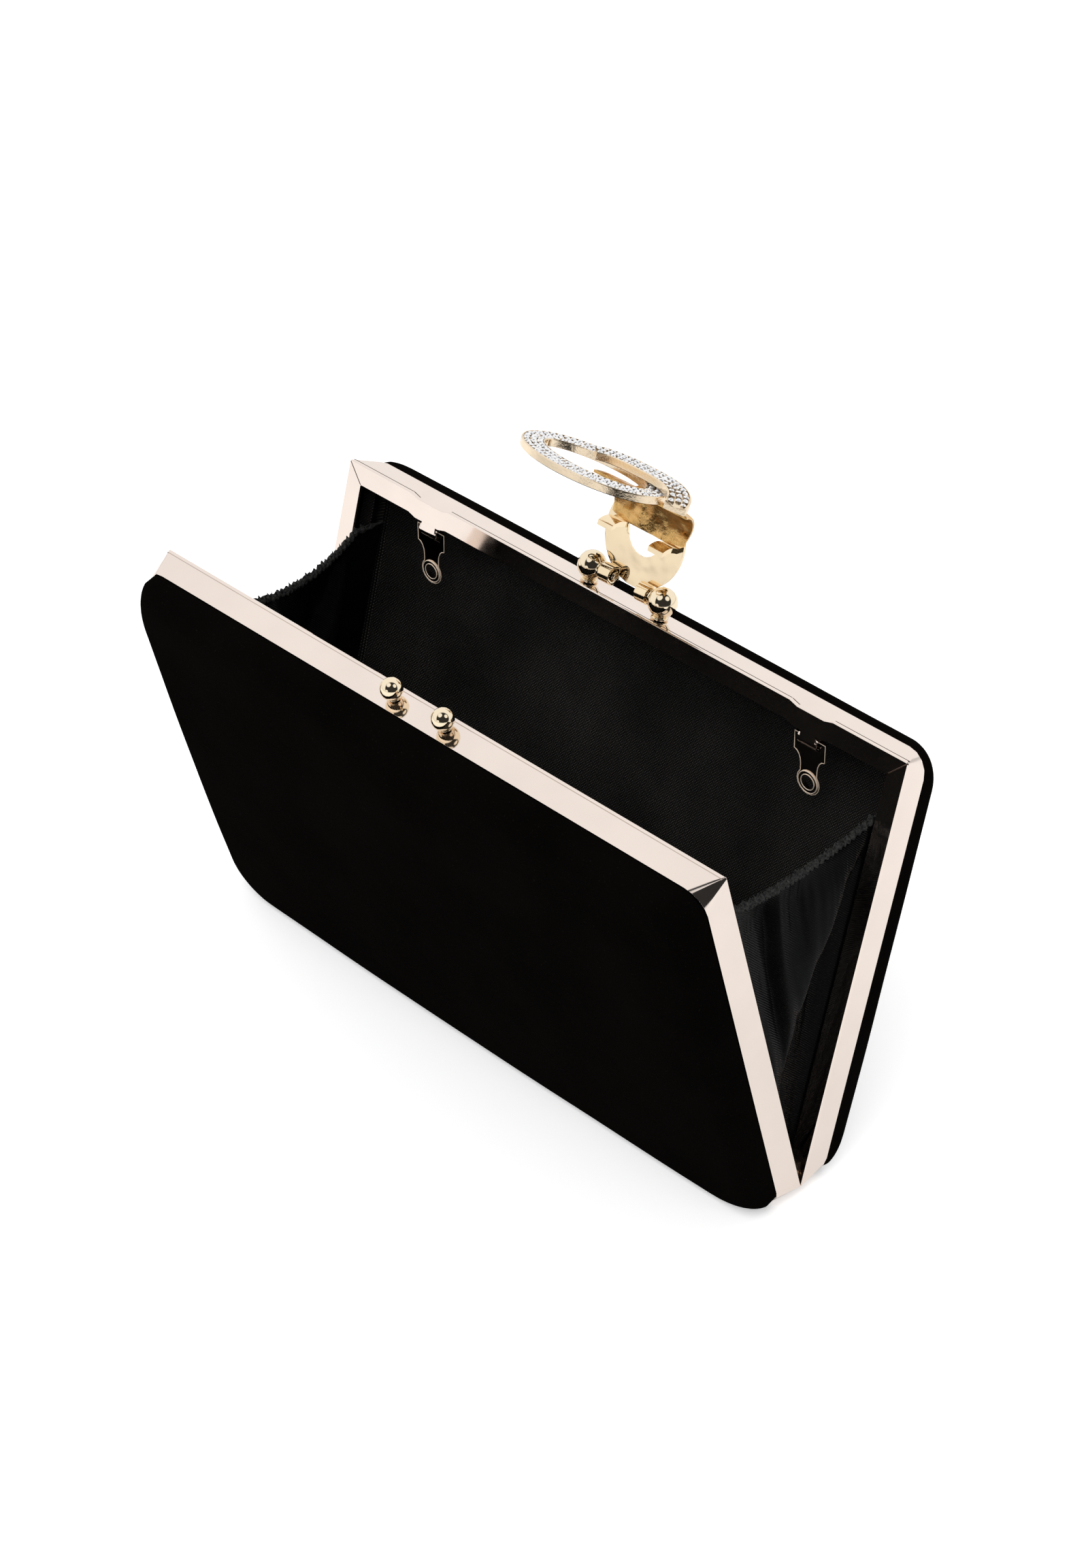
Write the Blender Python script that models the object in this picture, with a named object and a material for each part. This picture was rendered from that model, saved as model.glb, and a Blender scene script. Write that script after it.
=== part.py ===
"""Box clutch bag with a hard frame, standing open on its two padded bottom edges.

Two shallow trays are hinged along the bottom. Each tray is built in its own frame: X along the bag, Y the depth
behind the mouth (positive on the rear tray, negative on the front one), Z up from the hinge axis. Heights named
"height" are measured from the frame's bottom edge, depths from the tray's mouth.
"""
import math

import bmesh
import bpy
from mathutils import Matrix, Vector

# Clearance that neighbouring pieces keep, and what a cutter runs past its cut
seat_gap = 0.0003
overrun = 0.002

# Frames of bent sheet metal
frame_width = 0.190
frame_height = 0.115
band_depth = 0.0078
sheet = 0.0007
lip_width = 0.0052
flange_width = 0.0046
mouth_edge = 0.00025
mouth_corner_radius = 0.0004
panel_corner_radius = 0.006
flange_corner_radius = 0.002
mouth_gap = 0.0008
opening_angle = math.radians(30.8)
half_angle = opening_angle / 2

# Pressed dips in the rear frame's top edge, where a chain leaves the shut bag
dip_half_length = 0.0068
dip_flat_share = 0.62
dip_depth = 0.0007

# Padded panels: outer rim, straight wall, rounded edge and crown, then the layers from the outside in
pad_inset = 0.0001
pad_wall = 0.0026
pad_edge_radius = 0.005
pad_crown = 0.0040
crown_spread_share = 1.2
rim_corner_radius = 0.0065
pad_corner_radius = 0.0115
velvet = 0.0008
foam = 0.0016
shell = 0.0012
lining = 0.0006
rest_cut = 0.00035
face_ring_shares = (0.35, 0.75)
side_place_shares = (-0.5, 0.0, 0.5)
end_place_shares = (0.0,)
corner_steps = 4
edge_steps = 4

# Hinge along the bottom, with knuckles by turns on the two leaves
hinge_rise = 0.00175
hinge_length = 0.150
knuckle_count = 9
knuckle_radius = 0.00165
leaf = 0.0004
pin_radius = 0.00075
pin_head_radius = 0.0013
pin_head = 0.0006
knuckle_sides = 14

# Clasp posts on the rear frame and catch balls on the front frame
post_spacing = 0.024
post_ball_radius = 0.0038
post_height = 0.0044
post_stem_radius = 0.001
post_neck_radius = 0.0015
post_collar_radius = 0.0022
post_collar = 0.0004
post_hub_radius = 0.0021
post_hub_end = 0.0038
axle_radius = 0.0013
axle_end = 0.0082
axle_bore_radius = 0.0007
axle_bore = 0.0015
catch_spacing = 0.0175
catch_ball_radius = 0.0029
catch_height = 0.0031
catch_stem_radius = 0.0009
catch_neck_radius = 0.0011
catch_collar_radius = 0.0018
catch_collar = 0.0004
rivet_head = 0.0008
rivet_head_radius = 0.0017
ball_steps = 8
ball_sides = 20

# Clasp lever: round plate with window, curls on the axles and hooks
lever_lean = math.radians(5)
plate_radius = 0.0127
plate_centre = 0.0120
plate = 0.0008
window_radius = 0.0058
window_centre = 0.0130
curl_radius = 0.0025
curl_length = 0.0034
hook_spacing = 0.0170
hook_width = 0.0048
hook = 0.0013
hook_reach = 0.0055
hook_arch = 0.0005
hook_nose = 0.0006
hook_clearance = 0.0004
hook_steps = 6

# Hood and the two linked ovals of the ornament
hood = 0.0012
hood_foot = 0.0140
hood_bend = 0.0160
hood_reach = 0.0105
hood_half_width = 0.0120
hood_flare = 0.0035
hood_shift = 0.0012
hood_lean = 0.0028
hood_bulge = 0.0012
hood_arc_steps = 8
hood_cross_steps = 8
ornament_along = 0.0274
ring_band = 0.0060
ring_thickness = 0.0020
ring_edge = 0.0007
ring_weave = 0.0028
ring_weave_ease = 0.06
ring_droop = 0.0016
large_ring_half_length = 0.0220
large_ring_half_height = 0.0130
large_ring_shift = -0.0093
large_ring_forward = 0.0142
large_ring_fullness = 2.0
small_ring_half_length = 0.0185
small_ring_half_height = 0.0105
small_ring_shift = 0.0020
small_ring_forward = 0.0160
small_ring_fullness = 2.5
small_ring_arc_shares = (0.026, 0.422)
ring_steps = 36

# Chain tabs and the rolled loops that hold them
tab_place_share = 0.342
tab_axis_drop = 0.0082
tab = 0.0008
tab_shoulder_half = 0.0048
tab_shoulder_drop = 0.0044
tab_bar_half = 0.0006
tab_neck_half = 0.0026
tab_neck_drop = 0.0080
tab_eye_drop = 0.0121
tab_eye_radius = 0.0035
tab_hole_radius = 0.0021
tab_rim_radius = 0.0030
tab_rim = 0.0013
loop_radius = 0.00175
loop_wall = 0.0005
loop_length = 0.0060
tongue_width = 0.0048
loop_slit = 0.0003

# Satin gussets with a ruched elastic edge
gusset = 0.0006
gusset_low = 0.0075
gusset_drop = 0.0190
gusset_sag = 0.0050
gusset_fold = 0.0011
gusset_draw = 0.0022
gusset_tuck_depth = 0.0030
gusset_folds = 4
gusset_steps_across = 24
gusset_steps_up = 6
elastic_height = 0.0024
elastic = 0.0014
elastic_ripple = 0.0003

# Places that follow from the sizes above
rim_depth = band_depth + seat_gap
wall_depth = rim_depth + pad_wall
velvet_in = velvet
foam_out = velvet_in + seat_gap
foam_in = foam_out + foam
shell_out = foam_in + seat_gap
shell_in = shell_out + shell
lining_out = shell_in + seat_gap
lining_in = lining_out + lining
band_middle = mouth_gap / 2 + band_depth / 2
frame_top = frame_height - hinge_rise
pivot_height = frame_top + post_height
leaf_depth = mouth_gap / 2 + sheet + seat_gap
tab_place = frame_width * tab_place_share
tongue_depth = mouth_gap / 2 + sheet + seat_gap
tab_axis_depth = tongue_depth + loop_radius
tab_axis_height = frame_top - tab_axis_drop


def clear_scene():
    for old in list(bpy.data.objects):
        bpy.data.objects.remove(old, do_unlink=True)


def make_material(name, colour, roughness, metallic):
    made = bpy.data.materials.new(name)
    made.use_nodes = True
    shader = made.node_tree.nodes["Principled BSDF"]
    shader.inputs["Base Color"].default_value = (*colour, 1.0)
    shader.inputs["Roughness"].default_value = roughness
    shader.inputs["Metallic"].default_value = metallic
    made.diffuse_color = (*colour, 1.0)
    return made


def add_empty(name, parent=None, place=(0, 0, 0), turn=0.0):
    """An axis that pieces hang on; turn is about X."""
    empty = bpy.data.objects.new(name, None)
    bpy.context.collection.objects.link(empty)
    empty.parent = parent
    empty.location = place
    empty.rotation_euler = (turn, 0, 0)
    return empty


def add_piece(name, mesh, parent, material=None, smooth=True):
    """Turn a bmesh into a named object, its faces pointing out."""
    bmesh.ops.recalc_face_normals(mesh, faces=mesh.faces)
    data = bpy.data.meshes.new(name)
    mesh.to_mesh(data)
    mesh.free()
    piece = bpy.data.objects.new(name, data)
    bpy.context.collection.objects.link(piece)
    piece.parent = parent
    if material:
        data.materials.append(material)
    if smooth:
        data.shade_smooth()
        data.set_sharp_from_angle(angle=math.radians(40))
    return piece


def boolean(piece, operation, name, mesh):
    """Join or cut with a tool shape that hangs on the same parent and is left out of renders."""
    tool = add_piece(name, mesh, piece.parent, smooth=False)
    tool.hide_render = True
    tool.display_type = "WIRE"
    modifier = piece.modifiers.new(name, "BOOLEAN")
    modifier.operation = operation
    modifier.object = tool
    return tool


def add_box(mesh, low, high):
    size = Vector(high) - Vector(low)
    middle = (Vector(high) + Vector(low)) / 2
    fit = Matrix.Translation(middle) @ Matrix.Diagonal((*size, 1))
    bmesh.ops.create_cube(mesh, size=1, matrix=fit)


def add_rod(mesh, middle, axis, radius, length, sides):
    """A cylinder along X, Y or Z."""
    turns = {"X": Matrix.Rotation(math.pi / 2, 4, "Y"), "Y": Matrix.Rotation(math.pi / 2, 4, "X"), "Z": Matrix()}
    fit = Matrix.Translation(middle) @ turns[axis]
    bmesh.ops.create_cone(mesh, cap_ends=True, segments=sides, radius1=radius, radius2=radius,
                          depth=length, matrix=fit)


def add_prism(mesh, outline, low_x, high_x):
    """Extrude an outline of (y, z) points along X."""
    ends = [[mesh.verts.new((x, y, z)) for y, z in outline] for x in (low_x, high_x)]
    mesh.faces.new(ends[0])
    mesh.faces.new(reversed(ends[1]))
    for i in range(len(outline)):
        j = (i + 1) % len(outline)
        mesh.faces.new((ends[0][j], ends[0][i], ends[1][i], ends[1][j]))


def add_turned(mesh, profile, sides, fit):
    """Revolve (radius, height) points about Z; the first and last lie on the axis."""
    poles = [mesh.verts.new(fit @ Vector((0, 0, profile[end][1]))) for end in (0, -1)]
    rings = []
    for radius, height in profile[1:-1]:
        angles = [2 * math.pi * i / sides for i in range(sides)]
        rings.append([mesh.verts.new(fit @ Vector((radius * math.cos(a), radius * math.sin(a), height)))
                      for a in angles])
    for i in range(sides):
        j = (i + 1) % sides
        mesh.faces.new((poles[0], rings[0][j], rings[0][i]))
        mesh.faces.new((poles[1], rings[-1][i], rings[-1][j]))
        for lower, upper in zip(rings, rings[1:]):
            mesh.faces.new((lower[i], lower[j], upper[j], upper[i]))


def skin(loops, centres=None):
    """Join matching loops into one closed body, end to end or with a fan to a centre at each end."""
    mesh = bmesh.new()
    rows = [[mesh.verts.new(point) for point in loop] for loop in loops]
    count = len(rows[0])
    pairs = list(zip(rows, rows[1:]))
    if centres is None:
        pairs.append((rows[-1], rows[0]))
    for first, second in pairs:
        for i in range(count):
            j = (i + 1) % count
            mesh.faces.new((first[i], first[j], second[j], second[i]))
    if centres:
        for row, centre in zip((rows[0], rows[-1]), centres):
            tip = mesh.verts.new(centre)
            for i in range(count):
                mesh.faces.new((row[i], row[(i + 1) % count], tip))
    return mesh


def crown(x, height):
    """How far the padded panel swells at a place, most in the middle and a little along its edges."""
    across = x / (frame_width / 2 * crown_spread_share)
    up = (height - frame_height / 2) / (frame_height / 2 * crown_spread_share)
    return pad_crown * (1 - across ** 2) * (1 - up ** 2)


def dip(x, height):
    """Drop of the rear frame's mouth edge at a chain tab."""
    if height < frame_height / 2:
        return 0.0
    away = abs(abs(x) - tab_place)
    flat = dip_half_length * dip_flat_share
    return dip_depth * min(1.0, max(0.0, (dip_half_length - away) / (dip_half_length - flat)))


def tray_point(side, x, depth, height):
    return Vector((x, side * (mouth_gap / 2 + depth), height - hinge_rise))


def tray_loop(side, inset, depth, radius, rise=0.0, dipped=False, places=None):
    """A rounded rectangle round the tray, inset from the frame's outline.

    rise is the share of the crown that is added to the depth. places gives the X of extra points on the long
    sides; without it they are spread evenly, with one more on each short side.
    """
    half = frame_width / 2 - inset
    low = inset
    high = frame_height - inset
    run = half - radius
    xs = [run * share for share in side_place_shares] if places is None else places
    reach = (high - low) / 2 - radius
    ends = [] if places is not None else [frame_height / 2 + reach * share for share in end_place_shares]
    flat = [(x, low) for x in xs]
    for quarter in range(4):
        start = quarter * math.pi / 2 - math.pi / 2
        cx = run if quarter in (0, 1) else -run
        cz = low + radius if quarter in (0, 3) else high - radius
        for step in range(corner_steps + 1):
            angle = start + math.pi / 2 * step / corner_steps
            flat.append((cx + radius * math.cos(angle), cz + radius * math.sin(angle)))
        if quarter == 0:
            flat += [(half, height) for height in ends]
        elif quarter == 1:
            flat += [(x, high) for x in reversed(xs)]
        elif quarter == 2:
            flat += [(-half, height) for height in reversed(ends)]
    points = []
    for x, height in flat:
        drop = dip(x, height) if dipped else 0.0
        points.append(tray_point(side, x, depth + rise * crown(x, height), height - drop))
    return points


def layer_loops(side, offset):
    """The loops of a panel layer that lies offset inside the velvet's face, from its rim to its middle."""
    arc = pad_edge_radius - offset
    loops = [tray_loop(side, pad_inset + offset, rim_depth, rim_corner_radius - offset)]
    for step in range(edge_steps + 1):
        angle = math.pi / 2 * step / edge_steps
        inset = pad_inset + pad_edge_radius - arc * math.cos(angle)
        blend = math.sin(angle)
        corner = rim_corner_radius + (pad_corner_radius - rim_corner_radius) * blend - offset * math.cos(angle)
        loops.append(tray_loop(side, inset, wall_depth + arc * blend, corner, blend))
    return loops + face_loops(side, wall_depth + arc)


def face_loops(side, depth):
    """The inner loops of a crowned face."""
    edge = pad_inset + pad_edge_radius
    insets = [edge + (frame_height / 2 - edge) * share for share in face_ring_shares]
    return [tray_loop(side, inset, depth, pad_corner_radius, 1.0) for inset in insets]


def face_centre(side, depth):
    return tray_point(side, 0, depth + crown(0, frame_height / 2), frame_height / 2)


def add_layer(name, side, outer, inner, parent, material):
    """A dished layer of the padded panel between two offsets."""
    loops = list(reversed(layer_loops(side, inner))) + layer_loops(side, outer)
    centres = [face_centre(side, wall_depth + pad_edge_radius - offset) for offset in (inner, outer)]
    return add_piece(name, skin(loops, centres), parent, material)


def add_lining(name, side, parent, material):
    """Lining panel inside the shell, with a brim in front of the frame's flange."""
    edge = pad_inset + pad_edge_radius
    brim_inset = sheet + seat_gap
    brim_back = band_depth - sheet - seat_gap
    brim_front = brim_back - lining
    inner_face = wall_depth + pad_edge_radius - lining_in
    outer_face = wall_depth + pad_edge_radius - lining_out
    wall_in = pad_inset + lining_in
    wall_out = pad_inset + lining_out
    brim_corner = panel_corner_radius - brim_inset
    loops = list(reversed(face_loops(side, inner_face)))
    loops += [
        tray_loop(side, max(edge, wall_in), inner_face, pad_corner_radius, 1.0),
        tray_loop(side, wall_in, brim_front, mouth_corner_radius),
        tray_loop(side, brim_inset, brim_front, brim_corner),
        tray_loop(side, brim_inset, brim_back, brim_corner),
        tray_loop(side, wall_out, brim_back, rim_corner_radius - lining_out),
        tray_loop(side, wall_out, rim_depth, rim_corner_radius - lining_out),
        tray_loop(side, edge, outer_face, pad_corner_radius, 1.0),
    ]
    loops += face_loops(side, outer_face)
    centres = [face_centre(side, inner_face), face_centre(side, outer_face)]
    return add_piece(name, skin(loops, centres), parent, material)


def add_frame(name, side, parent, material, ball_places):
    """U-shaped band with a mouth lip and a panel flange, holed for the balls and cut clear of the hinge."""
    places = []
    if side > 0:
        flat = dip_half_length * dip_flat_share
        offsets = (-dip_half_length, -flat, flat, dip_half_length)
        places = [middle + offset for middle in (-tab_place, tab_place) for offset in offsets]
    rows = [
        (mouth_edge, 0, mouth_corner_radius, True),
        (0, mouth_edge, mouth_corner_radius + mouth_edge, True),
        (0, band_depth, panel_corner_radius, False),
        (flange_width, band_depth, flange_corner_radius, False),
        (flange_width, band_depth - sheet, flange_corner_radius, False),
        (sheet, band_depth - sheet, panel_corner_radius - sheet, False),
        (sheet, sheet, mouth_corner_radius, True),
        (lip_width, sheet, mouth_corner_radius, True),
        (lip_width, 0, mouth_corner_radius, True),
    ]
    loops = [tray_loop(side, inset, depth, radius, 0.0, at_mouth and side > 0, places)
             for inset, depth, radius, at_mouth in rows]
    frame = add_piece(name, skin(loops), parent, material)

    trough = bmesh.new()
    trough_length = hinge_length + 2 * (pin_head + 2 * seat_gap)
    add_rod(trough, (0, 0, 0), "X", knuckle_radius + seat_gap, trough_length, knuckle_sides)
    boolean(frame, "DIFFERENCE", name + "_trough", trough)

    relief = bmesh.new()
    foot = -hinge_rise - overrun

    def relief_depth(z):
        return (seat_gap / 2 - z * math.sin(half_angle)) / math.cos(half_angle)

    outline = [(-side * overrun, 0), (side * relief_depth(0), 0), (side * relief_depth(foot), foot),
               (-side * overrun, foot)]
    add_prism(relief, outline, -frame_width / 2 - overrun, frame_width / 2 + overrun)
    boolean(frame, "DIFFERENCE", name + "_relief", relief)

    holes = bmesh.new()
    for x, radius in ball_places:
        add_rod(holes, (x, side * band_middle, frame_top), "Z", radius + seat_gap, 2 * (sheet + overrun), ball_sides)
    boolean(frame, "DIFFERENCE", name + "_holes", holes)
    return frame


def knuckle_spans(side):
    """The X ranges of one leaf's knuckles: the odd ones are on the rear leaf, the even ones on the front."""
    pitch = hinge_length / knuckle_count
    first = 0 if side > 0 else 1
    spans = []
    for index in range(first, knuckle_count, 2):
        left = -hinge_length / 2 + index * pitch
        spans.append((left + seat_gap / 2, left + pitch - seat_gap / 2))
    return spans


def add_hinge_leaf(name, side, parent, material):
    """Leaf behind the bottom lip, tangent to its knuckles and notched round the other leaf's."""
    leaf_mesh = bmesh.new()
    near = leaf_depth
    far = leaf_depth + leaf
    depths = sorted((side * near, side * far))
    top = lip_width - hinge_rise
    add_box(leaf_mesh, (-hinge_length / 2, depths[0], -leaf / 2), (hinge_length / 2, depths[1], top))
    piece = add_piece(name, leaf_mesh, parent, material)

    knuckles = bmesh.new()
    for left, right in knuckle_spans(side):
        add_rod(knuckles, ((left + right) / 2, 0, 0), "X", knuckle_radius, right - left, knuckle_sides)
    boolean(piece, "UNION", name + "_knuckles", knuckles)

    notches = bmesh.new()
    for left, right in knuckle_spans(-side):
        add_rod(notches, ((left + right) / 2, 0, 0), "X", knuckle_radius + seat_gap,
                right - left + 2 * seat_gap, knuckle_sides)
    boolean(piece, "DIFFERENCE", name + "_notches", notches)

    bore = bmesh.new()
    add_rod(bore, (0, 0, 0), "X", pin_radius + seat_gap, hinge_length + 2 * overrun, knuckle_sides)
    boolean(piece, "DIFFERENCE", name + "_bore", bore)
    return piece


def add_hinge_pin(parent, material):
    shank = hinge_length / 2 + seat_gap
    crown_height = pin_head / 2
    profile = [(0, -shank - pin_head), (pin_radius, -shank - pin_head), (pin_head_radius, -shank - crown_height),
               (pin_head_radius, -shank), (pin_radius, -shank), (pin_radius, shank), (pin_head_radius, shank),
               (pin_head_radius, shank + crown_height), (pin_radius, shank + pin_head), (0, shank + pin_head)]
    mesh = bmesh.new()
    add_turned(mesh, profile, knuckle_sides, Matrix.Rotation(math.pi / 2, 4, "Y"))
    return add_piece("hinge_pin", mesh, parent, material)


def ball_stud_profile(ball_radius, centre, neck_radius, collar_radius, collar, stem_radius):
    """Turned stud from its riveted foot inside the channel to the top of its ball; 0 is the band's face."""
    foot = -sheet - seat_gap
    profile = [(0, foot - rivet_head), (rivet_head_radius - rivet_head / 2, foot - rivet_head),
               (rivet_head_radius, foot - rivet_head / 2), (rivet_head_radius, foot), (stem_radius, foot),
               (stem_radius, seat_gap), (collar_radius, seat_gap), (collar_radius, seat_gap + collar),
               (neck_radius, seat_gap + 2 * collar)]
    start = -math.acos(neck_radius / ball_radius)
    for step in range(ball_steps):
        angle = start + (math.pi / 2 - start) * step / ball_steps
        profile.append((ball_radius * math.cos(angle), centre + ball_radius * math.sin(angle)))
    profile.append((0, centre + ball_radius))
    return profile


def add_clasp_post(name, sign, parent, material):
    """Large ball on its stud, with a hub and a stub axle that point to the middle of the bag."""
    x = sign * post_spacing / 2
    base = Matrix.Translation((x, band_middle, frame_top))
    stud = bmesh.new()
    profile = ball_stud_profile(post_ball_radius, post_height, post_neck_radius, post_collar_radius, post_collar,
                                post_stem_radius)
    add_turned(stud, profile, ball_sides, base)
    post = add_piece(name, stud, parent, material)
    hub = bmesh.new()
    bevel = axle_radius / 4
    hub_bevel = post_hub_radius / 6
    turned = [(0, 0), (post_hub_radius, 0), (post_hub_radius, post_hub_end - hub_bevel),
              (post_hub_radius - hub_bevel, post_hub_end), (axle_radius, post_hub_end),
              (axle_radius, axle_end - bevel), (axle_radius - bevel, axle_end), (axle_bore_radius, axle_end),
              (axle_bore_radius, axle_end - axle_bore), (0, axle_end - axle_bore)]
    inward = Matrix.Translation((x, band_middle, pivot_height)) @ Matrix.Rotation(-sign * math.pi / 2, 4, "Y")
    add_turned(hub, turned, ball_sides, inward)
    boolean(post, "UNION", name + "_hub", hub)
    return post


def add_catch_ball(name, sign, parent, material):
    stud = bmesh.new()
    profile = ball_stud_profile(catch_ball_radius, catch_height, catch_neck_radius, catch_collar_radius,
                                catch_collar, catch_stem_radius)
    add_turned(stud, profile, ball_sides, Matrix.Translation((sign * catch_spacing / 2, -band_middle, frame_top)))
    return add_piece(name, stud, parent, material)


def hook_start():
    """Distance along the plate where the hooks clear the catch balls of the shut bag."""
    across = 2 * band_middle
    down = post_height - catch_height
    return math.hypot(across, down) + catch_ball_radius + hook_clearance


def add_clasp_plate(parent, material):
    """Round plate tangent to the back of its two curls, with a window and two hooks that point forward."""
    plate_back = curl_radius
    plate_front = curl_radius - plate
    disc = bmesh.new()
    add_rod(disc, (0, (plate_back + plate_front) / 2, plate_centre), "Y", plate_radius, plate, 2 * ball_sides)
    piece = add_piece("clasp_plate", disc, parent, material)

    window = bmesh.new()
    add_rod(window, (0, plate_front, window_centre), "Y", window_radius, 2 * (plate + overrun), ball_sides)
    boolean(piece, "DIFFERENCE", "clasp_window", window)

    outer_end = post_spacing / 2 - post_hub_end - seat_gap
    curls = bmesh.new()
    for sign in (-1, 1):
        add_rod(curls, (sign * (outer_end - curl_length / 2), 0, 0), "X", curl_radius, curl_length, ball_sides)
    boolean(piece, "UNION", "clasp_curls", curls)

    bore = bmesh.new()
    add_rod(bore, (0, 0, 0), "X", axle_radius + seat_gap, 2 * (outer_end + overrun), ball_sides)
    boolean(piece, "DIFFERENCE", "clasp_bore", bore)

    start = hook_start()
    root = (plate_front + plate / 2, start)
    under = [root]
    for step in range(1, hook_steps + 1):
        share = step / hook_steps
        rise = hook_arch * 4 * share * (1 - share) - hook_nose * share ** 3
        under.append((plate_front - hook_reach * share, start + rise))
    outline = under + [(y, z + hook) for y, z in reversed(under)]
    hooks = bmesh.new()
    for sign in (-1, 1):
        middle = sign * hook_spacing / 2
        add_prism(hooks, outline, middle - hook_width / 2, middle + hook_width / 2)
    boolean(piece, "UNION", "clasp_hooks", hooks)
    return piece


def hood_point(turn_share, cross_share, lift):
    """A point of the hood: along its bend from 0 at the plate to 1 at the ornament, and -1 to 1 across."""
    angle = math.pi / 2 * turn_share
    far = ornament_along - ring_thickness / 2 - seat_gap - hood / 2
    base = curl_radius - plate - seat_gap - hood / 2
    along = hood_bend + (far - hood_bend) * math.sin(angle)
    back = base - hood_reach * (1 - math.cos(angle))
    set_in = hood_bulge * cross_share ** 2 * math.sin(angle) * (1 - turn_share)
    half = hood_half_width + hood_flare * turn_share
    normal = Vector((0, math.cos(angle), math.sin(angle)))
    side = hood_shift + hood_lean * turn_share + half * cross_share
    return Vector((side, back, along - set_in)) + normal * lift


def add_hood(parent, material):
    """Cast hood that stands on the plate and bends forward to carry the ornament."""
    mesh = bmesh.new()
    faces = []
    for lift in (-hood / 2, hood / 2):
        foot = [hood_point(0, 2 * j / hood_cross_steps - 1, lift) - Vector((0, 0, hood_bend - hood_foot))
                for j in range(hood_cross_steps + 1)]
        rows = [[mesh.verts.new(point) for point in foot]]
        for i in range(hood_arc_steps + 1):
            rows.append([mesh.verts.new(hood_point(i / hood_arc_steps, 2 * j / hood_cross_steps - 1, lift))
                         for j in range(hood_cross_steps + 1)])
        faces.append(rows)
    inner, outer = faces
    last = len(inner) - 1
    for i in range(last):
        for j in range(hood_cross_steps):
            for rows in (inner, outer):
                mesh.faces.new((rows[i][j], rows[i][j + 1], rows[i + 1][j + 1], rows[i + 1][j]))
        for j in (0, hood_cross_steps):
            mesh.faces.new((inner[i][j], inner[i + 1][j], outer[i + 1][j], outer[i][j]))
    for i in (0, last):
        for j in range(hood_cross_steps):
            mesh.faces.new((inner[i][j], inner[i][j + 1], outer[i][j + 1], outer[i][j]))
    return add_piece("clasp_hood", mesh, parent, material)


def oval_point(angle, long, tall, fullness):
    """A point of an oval and its outward direction; a fullness of 2 is an ellipse, more is squarer."""
    across, up = math.cos(angle), math.sin(angle)
    point = [math.copysign(abs(value) ** (2 / fullness), value) for value in (across, up)]
    pull = [math.copysign(abs(value) ** (2 - 2 / fullness), value) for value in (across, up)]
    outward = Vector((pull[0] / long, pull[1] / tall, 0)).normalized()
    return Vector((long * point[0], tall * point[1], 0)), outward


def add_oval_ring(name, half_length, half_height, shift, forward, fullness, weave, droop, arc_shares, parent,
                  material):
    """Oval ring with bevelled upper edges, or the part of one between two shares of a turn.

    Its face looks along the plate, away from the hinge; weave is how far its rear side is raised, and droop how
    far its right-hand end comes down to the hood.
    """
    closed = arc_shares is None
    first, last = arc_shares or (0, 1)
    half_band = ring_band / 2
    half_thick = ring_thickness / 2
    section = [(-half_band, -half_thick), (half_band, -half_thick), (half_band, half_thick - ring_edge),
               (half_band - ring_edge, half_thick), (-half_band + ring_edge, half_thick),
               (-half_band, half_thick - ring_edge)]
    centre = Vector((shift, curl_radius - plate - forward, ornament_along))
    loops = []
    middles = []
    for step in range(ring_steps if closed else ring_steps + 1):
        angle = 2 * math.pi * (first + (last - first) * step / ring_steps)
        rear = math.sin(angle)
        place, outward = oval_point(angle, half_length - half_band, half_height - half_band, fullness)
        lowered = droop * max(place.x / (half_length - half_band), 0) ** 4
        raised = weave * rear / math.sqrt(rear ** 2 + ring_weave_ease) - lowered
        middle = centre + place + Vector((0, 0, raised))
        middles.append(middle)
        loops.append([middle + outward * away + Vector((0, 0, up)) for away, up in section])
    ends = None if closed else (middles[0], middles[-1])
    return add_piece(name, skin(loops, ends), parent, material)


def tab_outline():
    """Keyhole outline of a chain tab as (x, z) points, from the top right corner round to the top left."""
    right = [(tab_shoulder_half, tab_bar_half), (tab_shoulder_half, -tab_shoulder_drop)]
    steps = 4
    for step in range(1, steps + 1):
        angle = math.pi / 2 * step / steps
        x = tab_shoulder_half - (tab_shoulder_half - tab_neck_half) * math.sin(angle)
        z = -tab_shoulder_drop - (tab_neck_drop - tab_shoulder_drop) * (1 - math.cos(angle))
        right.append((x, z))
    start = math.acos(tab_neck_half / tab_eye_radius)
    for step in range(steps + 3):
        angle = start - (start + math.pi / 2) * step / (steps + 2)
        right.append((tab_eye_radius * math.cos(angle), -tab_eye_drop + tab_eye_radius * math.sin(angle)))
    return right[:-1] + [(0, right[-1][1])] + [(-x, z) for x, z in reversed(right[:-1])]


def add_chain_tab(name, parent, material):
    """Keyhole plate whose top bar turns inside a loop, with a raised rim round its eye."""
    mesh = bmesh.new()
    outline = tab_outline()
    sides = [[mesh.verts.new((x, y, z)) for x, z in outline] for y in (-tab / 2, tab / 2)]
    mesh.faces.new(sides[0])
    mesh.faces.new(reversed(sides[1]))
    for i in range(len(outline)):
        j = (i + 1) % len(outline)
        mesh.faces.new((sides[0][j], sides[0][i], sides[1][i], sides[1][j]))
    piece = add_piece(name, mesh, parent, material)

    rim = bmesh.new()
    add_rod(rim, (0, 0, -tab_eye_drop), "Y", tab_rim_radius, tab_rim, ball_sides)
    boolean(piece, "UNION", name + "_rim", rim)

    openings = bmesh.new()
    slot_half = loop_length / 2 + seat_gap
    add_box(openings, (-slot_half, -tab, -loop_radius - seat_gap), (slot_half, tab, -tab_bar_half))
    add_rod(openings, (0, 0, -tab_eye_drop), "Y", tab_hole_radius, 2 * tab_rim, ball_sides)
    boolean(piece, "DIFFERENCE", name + "_openings", openings)
    return piece


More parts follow.
